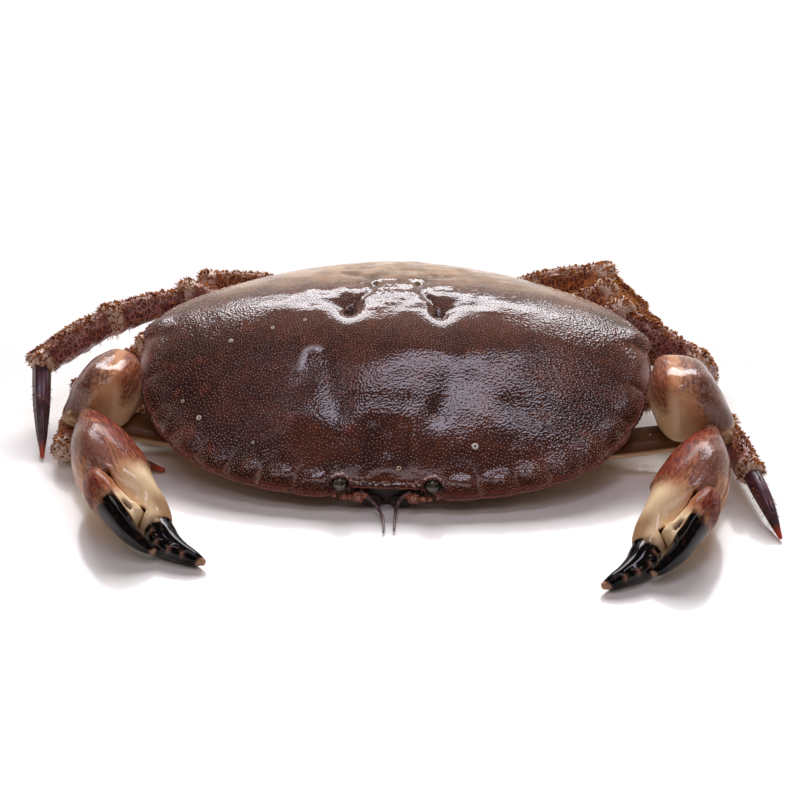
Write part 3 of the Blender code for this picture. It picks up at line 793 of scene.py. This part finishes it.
# brown: the palm's and wrist's own colour, and painted shade on the arm's top under the shell
skin = paint(tree, skin, "#8f5f38", "brown")
skin = paint(tree, skin, paint(tree, "#50261f", "#7d4a40", cloudy), purple, 0.92)
skin = paint(tree, skin, "#86260f", "red", streaky_red)
skin = paint(tree, skin, "#35100b", "red", streaks, 0.6)
skin = paint(tree, skin, "#b08a84", purple, spots(tree, limb_place, 1100, 0.5, 0.66), 0.5)
skin = paint(tree, skin, "#63301f", "black", 0.85)
skin = paint(tree, skin, "#090708", black)
skin = paint(tree, skin, "#a8745e", tooth, 0.8)
skin = paint(tree, skin, "#c99a80", "tip", 0.9)
# Painted shade: near black in the gap round the moving finger, in the hole in its plate and on the arm's top
skin = paint(tree, skin, "#2a1c12", "dark")
# Pores 0.6 mm apart, only where the shell is purple or red
pores = node(tree, "ShaderNodeTexVoronoi", {"Vector": limb_place, "Scale": 1700.0})
porous, bare = (node(tree, "ShaderNodeMath", {0: product(tree, one), 1: product(tree, other)},
                     operation="MAXIMUM").outputs[0] for one, other in (("purple", "red"), ("red", "brown")))
bump = node(tree, "ShaderNodeBump", {"Height": pores.outputs["Distance"], "Strength": 0.22,
                                     "Distance": product(tree, porous, 0.00022)}).outputs["Normal"]
polish, film = (node(tree, "ShaderNodeMath", {0: value, 1: by, 2: start}, operation="MULTIPLY_ADD").outputs[0]
                for value, by, start in ((product(tree, "black"), -0.3, 0.44), (bare, -0.7, 0.8)))
plug(shader, {"Base Color": skin, "Normal": bump, "Coat Normal": bump, "Roughness": polish, "Coat Weight": film,
              "Specular IOR Level": 0.08, "Coat Roughness": 0.06, "IOR": 1.5})
for name in CLAWS:
    dress(palms[name], claw_finish, "claw_shell", f"{name}_claw_palm")
    dress(fingers[name], claw_finish, "claw_shell", f"{name}_claw_finger")
    dress(wrists[name], claw_finish, "claw_shell", f"{name}_claw_wrist")
    dress(arms[name], claw_finish, "claw_shell", f"{name}_claw_arm")

# %% [markdown]
# ## The walking legs
# Four legs a side, each of four pieces that show. The list gives each leg's joints from the belly to the tip.

# %% Legs: their joints and sections
LEGS = {
    "right_leg_1": (((-40, -9, 8), (-90, 7, 21.5), (-110, -4, 11.5), (-113, -36, 6), (-78, -41, 1.4)), 0.94),
    "right_leg_2": (((-41, 9, 11), (-79, 20, 16.5), (-96, 14, 8), (-88, -12, 5.5), (-64, -14, 1.4)), 0.9),
    "right_leg_3": (((-39, 27, 15), (-79, 40, 26.5), (-104, 20, 27.5), (-126.5, -3, 21.6), (-122, -34, 1)), 1.0),
    "right_leg_4": (((-31, 40, 20), (-73, 52, 25), (-87, 46, 15), (-82, 28, 7), (-60, 6, 1.6)), 0.86),
    "left_leg_1": (((40, -9, 8), (91, 2, 12.5), (115, -15, 9), (122.5, -45, 10), (131, -72, 1.2)), 0.96),
    "left_leg_2": (((41, 9, 11), (81, 34, 27), (106, 14.5, 18.5), (112, 28, 6.5), (85, 25, 1.6)), 1.0),
    "left_leg_3": (((39, 27, 15), (75.5, 47.5, 28), (90, 44, 17), (94, 42, 6), (66, 37, 1.6)), 0.9),
    "left_leg_4": (((31, 40, 20), (75, 60.5, 28), (86, 60, 16), (78, 57, 6), (51, 47, 1.6)), 0.86),
}
# Half widths and half heights at the near end, middle and far end, how far the piece bows up, and its reach
# past the joint
LEG_PIECES = {
    "thigh": ((4.4, 5.6, 5.3), (5.0, 7.0, 6.6), 1.5, 2.6),
    "knee": ((3.8, 4.5, 5.3), (4.2, 5.0, 6.0), 0.8, 2.6),
    "shin": ((4.0, 5.2, 4.6), (4.6, 5.9, 4.9), 1.0, 1.4),
    "toe": ((3.2, 2.8, 0.7), (3.6, 3.2, 0.8), 1.2, 0.0),
}
# The hindmost thighs lie up along the shell's rear edge, and these are their starts and middles
THIGH_PLACES = {
    "left_leg_4": ((29, 45.5, 24), (52, 54.5, 27.4)),
    "right_leg_4": ((-30, 43, 21), (-51, 51.5, 25)),
}
WARM_LEGS = ("left_leg_4", "left_leg_3", "right_leg_4")
tubercles, bristles = [], []


def scatter(places, out, size, lean, kept):
    """Keeps small things for one joined piece: where each stands, which way it points and how large it is."""
    for place, direction, length in zip(places, unit(out + lean), size):
        if (place + direction * length * 1.2)[2] > 0.2:
            kept.append((place, direction, length))


def make_leg_piece(leg, part, start, end, size):
    widths, heights, bow, past = LEG_PIECES[part]
    start, end = np.array(start, float), np.array(end, float)
    along = unit(end - start)
    middle = (start + end) / 2 + (0, 0, bow)
    if part == "thigh" and leg in THIGH_PLACES:
        start, middle = np.array(THIGH_PLACES[leg], float)
    points = np.array((start, middle, end + along * past))
    widths, heights = np.array(widths) * size, np.array(heights) * size
    side = np.array((-along[1], along[0], 0.0))
    around, rings = (40, 70) if part != "toe" else (36, 60)
    made, places, out, inner, body, angle = limb(f"{leg}_{part}_shell", around, rings, points, widths, heights,
                                                 side)
    seed = sum(map(ord, leg + part))
    draws = np.random.default_rng(seed)
    if part == "toe":
        grooves = 0.7 * np.cos(angle * 6) * smooth(body / 0.15) * (1 - smooth((body - 0.75) / 0.2))
        relief = 0.32 * grooves * size
    else:
        relief = 0.2 * wave(inner[:, 0], inner[:, 1] + inner[:, 2], 4.0, seed)
        relief += 0.3 * np.exp(-(((body - 0.93) / 0.06) ** 2)) - 0.3 * np.exp(-(((body - 0.06) / 0.05) ** 2))
        relief += 0.3 * np.abs(np.cos(angle * 2.5)) - 0.2
    places = places + out * relief[:, None]
    put(made, places)
    mark_place(made, inner)
    mark(made, "far", body)
    mark(made, "top", 0.5 + 0.5 * out[:, 2])
    mark(made, "warm", np.full(len(body), 1.0 * (leg in WARM_LEGS)))

    def pick(where, count, low, high, lean, kept):
        """Scatters things of random size on random points among those that a condition picks."""
        chosen = draws.choice(np.flatnonzero(where), count)
        jitter = draws.normal(0, 0.25, (count, 3)) * size
        scatter(places[chosen] + jitter * (1 - out[chosen] ** 2), out[chosen], draws.uniform(low, high, count),
                along * lean, kept)

    upper = out[:, 2] / out[(body > 0.1) & (body < 0.9), 2].max()
    if part != "toe":
        pick((upper > 0.72) & (body > 0.04), 190, 0.34, 0.62, 0.3, tubercles)
        pick((np.abs(upper - 0.3) < 0.1) & (body > 0.1), 30, 0.35, 0.55, 0.3, tubercles)
        pick((np.abs(upper + 0.3) < 0.1) & (body > 0.1), 20, 0.35, 0.55, 0.3, tubercles)
        pick((body > 0.86) & (upper > -0.3), 30, 0.36, 0.62, 0.6, tubercles)
        pick((body > 0.92) & (upper > -0.3), 150, 0.8, 1.7, 0.9, bristles)
        pick((upper > 0.8) & (body > 0.03), 110, 0.8, 1.6, 0.4, bristles)
        pick((upper < -0.5) & (body > 0.05), 40, 0.9, 2.0, 0.4, bristles)
    else:
        pick((body > 0.02) & (body < 0.75) & (np.cos(angle * 6) < 0), 90, 0.7, 1.7, 0.9, bristles)
    return made


leg_shells, toe_shells = {}, {}
for leg, (joints, size) in LEGS.items():
    for index, part in enumerate(LEG_PIECES):
        made = make_leg_piece(leg, part, joints[index], joints[index + 1], size)
        (toe_shells if part == "toe" else leg_shells)[f"{leg}_{part}"] = made
print("legs", len(leg_shells) + len(toe_shells), "pieces,", len(tubercles), "tubercles")
print(len(bristles), "bristles")


# %% [markdown]
# Tubercles and bristles are far too many to place by hand. Each kind is one joined mesh: a five-sided knob or a
# three-sided spike is worked out once, and copied to every place with the right turn and size.

# %% Small things in one mesh
def joined(name, things, profile, sides, tip_height, bend=0.0):
    """One mesh of many small closed cones. The profile lists radius and height for a thing of size one."""
    origins = np.array([thing[0] for thing in things])
    upward = unit(np.array([thing[1] for thing in things]))
    sizes = np.array([thing[2] for thing in things])
    helper = np.where(np.abs(upward[:, 2:3]) < 0.9, (0.0, 0.0, 1.0), (1.0, 0.0, 0.0))
    across = unit(np.cross(upward, helper))
    ahead = np.cross(upward, across)
    turns = 2 * np.pi * np.arange(sides) / sides
    levels = []
    for radius, height in profile:
        lean = bend * max(height, 0.0) ** 2
        circle = (across[:, None] * np.cos(turns)[:, None] + ahead[:, None] * np.sin(turns)[:, None]) * radius
        levels.append(origins[:, None] + (circle + (upward * height + np.array((0, 0, -lean)))[:, None])
                      * sizes[:, None, None])
    top = upward * tip_height - np.array((0, 0, bend * tip_height**2))
    tip = origins[:, None] + top[:, None] * sizes[:, None, None]
    points = np.concatenate(levels + [tip], axis=1)
    each = points.shape[1]
    faces = []
    for level in range(len(profile) - 1):
        for spot in range(sides):
            after = (spot + 1) % sides
            a, b = level * sides + spot, level * sides + after
            faces += [(a, b, b + sides), (a, b + sides, a + sides)]
    last = (len(profile) - 1) * sides
    faces += [(last + spot, last + (spot + 1) % sides, each - 1) for spot in range(sides)]
    faces += [(0, spot + 1, spot) for spot in range(1, sides - 1)]
    faces = (np.arange(len(points))[:, None, None] * each + np.array(faces)).reshape(-1, 3)
    mesh = bpy.data.meshes.new(name)
    mesh.from_pydata(((points.reshape(-1, 3) + SHIFT) * MM).tolist(), [], faces.tolist())
    mesh.shade_smooth()
    made = bpy.data.objects.new(name, mesh)
    bpy.context.scene.collection.objects.link(made)
    print(name, len(faces), "triangles")
    return made


leg_tubercles = joined("leg_tubercles", tubercles, ((0.8, -0.4), (0.66, 0.5), (0.34, 1.1)), 5, 1.35)
leg_bristles = joined("leg_bristles", bristles, ((0.1, -0.1), (0.07, 0.5)), 3, 1.0, bend=0.1)

# %% [markdown]
# A leg's shell is half dull with short hair and half wet. Dark scale marks lie in rows over a pinkish ground, and
# the far end of each piece is pale. Tubercles and bristles are dry horn, so they are nearly matt.

# %% Leg finishes
leg_finish, tree, shader = new_finish("marked leg shell")
limb_place = node(tree, "ShaderNodeAttribute", attribute_name="limb").outputs["Vector"]
# Scales 2.4 mm long and 1.2 mm wide, with a thin pale net between them
stretched = node(tree, "ShaderNodeMapping", {"Vector": limb_place, "Scale": (820, 420, 420)}).outputs["Vector"]
scales = node(tree, "ShaderNodeTexVoronoi", {"Scale": 1.0, "Randomness": 0.85, "Vector": stretched},
              feature="DISTANCE_TO_EDGE")
in_scale = node(tree, "ShaderNodeMapRange", {"Value": scales.outputs["Distance"], "From Min": 0.03,
                                             "From Max": 0.12}, interpolation_type="SMOOTHSTEP").outputs["Result"]
top, far, near = (
    node(tree, "ShaderNodeMapRange", {"Value": product(tree, name), "From Min": low, "From Max": high}).outputs[0]
    for name, low, high in (("top", 0.6, 0.95), ("far", 0.84, 0.9), ("far", 0.2, 0.1)))
skin = paint(tree, "#a85a56", "#d69c92", spots(tree, limb_place, 160, 0.35, 0.65))
skin = paint(tree, skin, "#d08a4c", "warm", 0.85)
skin = paint(tree, skin, "#4c1f2a", in_scale, spots(tree, limb_place, 120, 0.25, 0.42), 0.86)
skin = paint(tree, skin, "#8c5228", top, 0.5)
skin = paint(tree, skin, "#2c1c18", near, 0.85)
skin = paint(tree, skin, "#e8cbb4", far, 0.92)
skin = paint(tree, skin, "#5a2f22", far, spots(tree, limb_place, 700, 0.58, 0.64))
bump = node(tree, "ShaderNodeBump", {"Height": in_scale, "Strength": 0.5, "Distance": 0.0003}).outputs["Normal"]
plug(shader, {"Base Color": skin, "Normal": bump, "Coat Normal": bump, "Roughness": 0.5,
              "Specular IOR Level": 0.2, "Coat Weight": 0.4, "Coat Roughness": 0.12})

toe_finish, tree, shader = new_finish("dark grooved toe shell")
limb_place = node(tree, "ShaderNodeAttribute", attribute_name="limb").outputs["Vector"]
red_end = node(tree, "ShaderNodeMapRange", {"Value": product(tree, "far"), "From Min": 0.8, "From Max": 0.93})
skin = paint(tree, "#331820", "#5c3540", spots(tree, limb_place, 200, 0.35, 0.65))
skin = paint(tree, skin, "#b5401c", red_end.outputs["Result"])
plug(shader, {"Base Color": skin, "Roughness": 0.4, "Specular IOR Level": 0.25, "Coat Weight": 0.4,
              "Coat Roughness": 0.12})


def mottled(name, scale, dark, light, roughness, levels=(0.35, 0.65), **more):
    """A finish of two mottled tones, for the small pieces. The scale is in lumps a metre."""
    finish, tree, shader = new_finish(name)
    here = node(tree, "ShaderNodeTexCoord").outputs["Object"]
    skin = paint(tree, dark, light, spots(tree, here, scale, *levels))
    plug(shader, {"Base Color": skin, "Roughness": roughness})
    plug(shader, {key.replace("_", " ").title(): value for key, value in more.items()})
    return finish


# Brown knobs mottled with orange, and bristles like dry grass
knob_finish = mottled("horny tubercles", 300, "#6e330e", "#cf8440", 0.65)
bristle_finish = mottled("stiff bristle", 200, "#7a4216", "#cf8636", 0.7)
for finish in (knob_finish, bristle_finish):
    plug(finish.node_tree.nodes["Principled BSDF"], {"Specular IOR Level": 0.2})
for name, made in leg_shells.items():
    dress(made, leg_finish, "leg_shell", name)
for name, made in toe_shells.items():
    dress(made, toe_finish, "leg_shell", name)
dress(leg_tubercles, knob_finish, "leg_shell")
dress(leg_bristles, bristle_finish, "leg_shell")

# %% [markdown]
# ## Granules
# The whole back is set with tiny pale grains, evenly spread as if each pushed its neighbours away. Random places
# are drawn one by one, and each is kept only if no kept grain is too near.

# %% Granules
GRAIN_DRAWS = 400000
GRAIN_GAP = 0.76  # mm, in the middle of the back


def grain_gap(x, y):
    front = 0.2 * smooth((-y - 6) / 30)
    side = 0.16 * smooth((np.abs(x) - 45) / 30) * smooth((12 - y) / 20)
    steep = 0.42 * smooth((share_of_shell(x, y) - 0.86) / 0.1)
    return GRAIN_GAP * (1 + np.minimum(front + side, 0.24) - steep)


draw_x, draw_y = random.uniform(-90, 90, GRAIN_DRAWS), random.uniform(-62, 50, GRAIN_DRAWS)
inside = share_of_shell(draw_x, draw_y) < 0.988
draw_x, draw_y = draw_x[inside], draw_y[inside]
gaps = grain_gap(draw_x, draw_y)
cells, kept = {}, []
for index, (x, y, gap) in enumerate(zip(draw_x, draw_y, gaps)):
    column, row = int(x // 2), int(y // 2)
    near = [other for i in (-1, 0, 1) for j in (-1, 0, 1) for other in cells.get((column + i, row + j), ())]
    if all((x - draw_x[other]) ** 2 + (y - draw_y[other]) ** 2 > gap * gap for other in near):
        cells.setdefault((column, row), []).append(index)
        kept.append(index)
grain_x, grain_y = draw_x[kept], draw_y[kept]
print("granules", len(kept))


# %% [markdown]
# A grain sits on the surface that was made above, so its height and tilt are read from that mesh by a ray from
# above. Grains are thinned out and made smaller on the smooth rear slope.

# %% Granules on the shell
def on_surface(made, x, y, high=80.0):
    """Places on a piece below given x and y in mm, and the surface's outward directions there."""
    graph = bpy.context.evaluated_depsgraph_get()
    tree = BVHTree.FromObject(made, graph)
    found = []
    for px, py in zip(x, y):
        start = Vector(((px + SHIFT[0]) * MM, (py + SHIFT[1]) * MM, high * MM))
        hit, normal, _, _ = tree.ray_cast(start, Vector((0, 0, -1)))
        if hit is None:
            continue
        found.append((np.array(hit) / MM - SHIFT, np.array(normal)))
    return found


granules = []
for place, normal in on_surface(shell, grain_x, grain_y):
    smooth_rear = float(smooth((place[1] - 14) / 16))
    if random.random() < smooth_rear * 0.6:
        continue
    granules.append((place, normal, random.uniform(0.8, 1.2) * (1 - 0.6 * smooth_rear)))
shell_granules = joined("shell_granules", granules, ((0.32, -0.05),), 5, 0.16)
# Each grain is a pale point of light on the dark back
grain_finish = mottled("pale shell granules", 250, "#7c4a39", "#b8826e", 0.35, (0.3, 0.7),
                       coat_weight=1.0, coat_roughness=0.18)
dress(shell_granules, grain_finish, "back_shell")

# %% [markdown]
# The very edge of the shell is a string of tiny pinkish beads. They follow the edge's own line.

# %% Beads round the edge
BEAD_GAP = 0.95  # mm
BEAD_SHARE, INNER_SHARE = 0.994, 0.6  # how far out the beads lie, and the places they point away from


def top_places(angles, share):
    return shell_surface(angles, np.full(len(angles), share), np.full(len(angles), True))[0]


edge_angles = np.linspace(0, 2 * np.pi, 4000, endpoint=False)
steps_along = np.linalg.norm(np.diff(top_places(edge_angles, BEAD_SHARE), axis=0), axis=1)
walked = np.concatenate(([0.0], np.cumsum(steps_along)))
turns = np.interp(np.arange(0, walked[-1], BEAD_GAP), walked, edge_angles)
bead_places, bead_out = top_places(turns, BEAD_SHARE), top_places(turns, INNER_SHARE)
bead_out = unit((bead_places - bead_out) * (1, 1, 0)) + (0, 0, 0.5)
edge_beads = joined("edge_beads", list(zip(bead_places, unit(bead_out), random.uniform(0.8, 1.15, len(turns)))),
                    ((0.5, -0.3), (0.45, 0.1), (0.25, 0.36)), 6, 0.44)

# %% [markdown]
# ## The face
# Between the eyes the edge carries seven low rounded teeth. A beaded rim arches over each eye, with blunt orange
# lobes below it, and two thin feelers hang down in front of the dark mouth.

# %% Face: teeth, sockets and lobes
def pebble(name, middle, radii, seed=0, around=24, rings=16, uneven=0.06):
    """A small rounded lump, a little uneven."""
    made, angle, pole_share = ball(name, around, rings)
    turn = np.pi * pole_share
    direction = np.stack((np.sin(turn) * np.cos(angle), np.sin(turn) * np.sin(angle), np.cos(turn)), axis=1)
    bumps = 1 + uneven * wave(direction[:, 0] * 3, direction[:, 1] * 3 + direction[:, 2] * 2, 2.0, seed)
    put(made, np.array(middle) + direction * np.array(radii) * bumps[:, None])
    return made


def join(name, pieces):
    deselect_all()
    for piece in pieces:
        piece.select_set(True)
    bpy.context.view_layer.objects.active = pieces[0]
    bpy.ops.object.join()
    pieces[0].name = name
    pieces[0].data.name = name
    return pieces[0]


SOCKET_RADIUS = 3.7
# Place and size of the lobes under each eye, then place aside and size of the teeth
LOBES = ((9.4, -60.6, 5.2, 2.1), (12.4, -60.4, 5.0, 1.3), (14.6, -60.7, 5.2, 1.1), (17.6, -60.4, 5.6, 0.9),
         (7.2, -60.2, 5.7, 1.2), (20.2, -59.6, 7.4, 0.9))
TEETH_BETWEEN_EYES = ((-10.8, 2.3), (-7.4, 1.9), (-3.9, 2.2), (-0.3, 2.3), (3.4, 2.2), (6.9, 1.9), (10.3, 2.3))
rims, lumps_below = [], []
for side in (-1, 1):
    eye = EYE_MIDDLE * (side, 1, 1)
    for index, turn in enumerate(np.linspace(-0.3, np.pi + 0.3, 26)):
        rise = math.sin(turn)
        place = eye + (SOCKET_RADIUS * math.cos(turn), -0.9 + 0.9 * rise, SOCKET_RADIUS * 0.92 * rise)
        radii = (0.4 + 0.16 * (index % 3), 1.4, 0.3 + 0.13 * (index % 4))
        rims.append(pebble(f"rim_{side}_{index}", place, radii, index + 3, 14, 9, 0.3))
    for index, (x, y, z, size) in enumerate(LOBES):
        radii = (size * 1.15, size, size * 0.85)
        lumps_below.append(pebble(f"lump_{side}_{index}", (x * side, y, z), radii, index + 31, uneven=0.14))
for index, (x, size) in enumerate(TEETH_BETWEEN_EYES):
    place = (x, -57.3 - 0.4 * (abs(x) < 5), 9.4)
    rims.append(pebble(f"tooth_{index}", place, (size * 1.1, 2.6, 0.8), index + 51, uneven=0.3))
face = join("face_rims", rims)
lobes = join("face_lobes", lumps_below)
# Reddish beads, flecked with small pale specks
face_finish, tree, shader = new_finish("reddish beaded shell edge")
here = node(tree, "ShaderNodeTexCoord").outputs["Object"]
skin = paint(tree, "#43201a", "#74372b", spots(tree, here, 350, 0.35, 0.65))
skin = paint(tree, skin, "#b07a66", spots(tree, here, 1100, 0.54, 0.66), 0.7)
plug(shader, {"Base Color": skin, "Roughness": 0.5, "Coat Weight": 0.25, "Coat Roughness": 0.12})
# Orange grains on dark red, half wet
lump_finish = mottled("orange beaded lobes", 900, "#7c3420", "#c8825e", 0.4, (0.45, 0.65),
                      coat_weight=0.6, coat_roughness=0.12)
dress(face, face_finish, "back_shell")
dress(lobes, lump_finish, "back_shell")
dress(edge_beads, face_finish, "back_shell")

# %% [markdown]
# A small knob of the hinge shows between each wrist and palm, tan like a dry joint.

# %% Hinge knobs
knobs = [pebble(f"knob_{index}", middle, radii, index + 81) for index, (middle, radii) in enumerate(KNOBS)]
knobs = join("hinge_knobs", knobs)
# Dry and plain beside the glossy claw
horn_finish = mottled("tan hinge knob", 300, "#8a6242", "#cfa47a", 0.4)
dress(knobs, horn_finish, "claw_shell")

# %% [markdown]
# Wild crabs carry a few barnacles and specks of worm tube. Each is a ring a millimetre or two wide, set flat on
# the shell where the photo shows one.

# %% Barnacles
# Place aside and along, and size, in mm
BARNACLES = ((-57, -11.4, 0.75), (-42.5, -8.2, 0.6), (-65.6, -37.2, 0.85), (29.4, -47.5, 1.05),
             (4.1, -54.9, 0.8), (-31.4, -5.6, 0.6), (-72, -30.5, 0.6), (38.5, -18, 0.55), (50, -27.4, 0.5),
             (-46, -47, 0.5))
rings_made = []
for place, normal in on_surface(shell, [b[0] for b in BARNACLES], [b[1] for b in BARNACLES]):
    size = BARNACLES[len(rings_made)][2]
    deselect_all()
    bpy.ops.mesh.primitive_torus_add(major_segments=18, minor_segments=8, major_radius=size * MM * 0.75,
                                     minor_radius=size * MM * 0.38)
    ring_piece = bpy.context.object
    turn = Vector(normal).to_track_quat("Z", "Y").to_matrix().to_4x4()
    turn.translation = Vector((place + SHIFT) * MM)
    ring_piece.data.transform(turn)
    ring_piece.data.shade_smooth()
    rings_made.append(ring_piece)
barnacles = join("barnacles", rings_made)
# Matt chalk, the only white on the back
lime_finish = mottled("chalky barnacle", 120, "#b9ad8e", "#e6e2da", 0.6, (0.4, 0.6))
dress(barnacles, lime_finish, "back_shell")

# %% [markdown]
# The eye is a glassy dark ball. The feelers are thin, jointed and purplish.

# %% Face: eyes, feelers and mouth
# A black mirror, mouth plates painted near black as the shade under the shell's front so that they read as a
# hollow, and smooth purplish stalks
eye_finish = mottled("glassy eye", 500, "#17150f", "#5a5140", 0.15, coat_weight=1.0, coat_roughness=0.03)
mouth_shade_finish = mottled("mouth plates painted dark as shade", 300, "#17100d", "#3a241a", 0.45)
feeler_finish = mottled("purplish feeler", 700, "#4a3036", "#7d5a60", 0.35, (0.4, 0.6))
FEELERS = {
    "right": ((-8.6, -59.2, 6.6), (-5.4, -61.2, 4.8), (-2.6, -63.6, 3.0), (-0.6, -68.0, 1.7), (0.0, -75.0, 1.0)),
    "left": ((8.0, -59.2, 6.6), (5.0, -61.2, 5.0), (3.6, -63.8, 3.0), (3.4, -68.3, 1.7), (3.4, -74.0, 1.0)),
}
# A near-black lump behind the mouth plates, as painted shade under the shell's front
recess = pebble("mouth_recess", (0, -56.4, 5.2), (12.5, 2.0, 4.4), 77)
dress(recess, mouth_shade_finish, "belly_shell")
for name, side in (("left", 1), ("right", -1)):
    eye = pebble(f"{name}_eye_ball", EYE_MIDDLE * (side, 1, 1), (3.0, 2.8, 3.0), 71, 40, 24, 0.0)
    dress(eye, eye_finish, "eye", f"{name}_eye")
    # Each mouth plate is painted near black as shade
    plate = pebble(f"{name}_mouth", (4.9 * side, -58.5, 2.8), (3.8, 1.5, 2.3), 73)
    dress(plate, mouth_shade_finish, "belly_shell", f"{name}_mouth_plate")
    thickness = (0.9, 0.6, 0.32)
    made, places, out, _, body, _ = limb(f"{name}_feeler", 12, 60, FEELERS[name], thickness, thickness,
                                         (1, 0, 0))
    put(made, places + out * (0.07 * np.cos(body * 2 * np.pi * 16))[:, None])
    dress(made, feeler_finish, "leg_shell", f"{name}_antenna")

# %% [markdown]
# ## The underside
# The belly and the folded tail flap keep the solids' shape. A copy is smoothed, and takes a cream satin finish.

# %% Underside
# Cream with tan clouds and small brown spots
belly_finish, tree, shader = new_finish("cream belly shell")
here = node(tree, "ShaderNodeTexCoord").outputs["Object"]
skin = paint(tree, "#e0c6a0", "#c99a72", spots(tree, here, 90, 0.35, 0.7))
skin = paint(tree, skin, "#8a5a40", spots(tree, here, 400, 0.55, 0.7), 0.5)
plug(shader, {"Base Color": skin, "Roughness": 0.4, "Coat Weight": 0.4})


def smoothed_copy(node_name):
    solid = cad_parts[node_name]
    made = bpy.data.objects.new(f"{node_name}_shell", solid.data.copy())
    bpy.context.scene.collection.objects.link(made)
    deselect_all()
    made.select_set(True)
    bpy.context.view_layer.objects.active = made
    bpy.ops.object.mode_set(mode="EDIT")
    bpy.ops.mesh.select_all(action="SELECT")
    bpy.ops.mesh.remove_doubles(threshold=0.00002)
    bpy.ops.mesh.tris_convert_to_quads()
    bpy.ops.object.mode_set(mode="OBJECT")
    rounder = made.modifiers.new("Rounder", "SUBSURF")
    rounder.levels = rounder.render_levels = 1
    bpy.ops.object.modifier_apply(modifier="Rounder")
    made.data.shade_smooth()
    return made


for node_name in ("belly", "apron"):
    dress(smoothed_copy(node_name), belly_finish, "belly_shell", node_name)
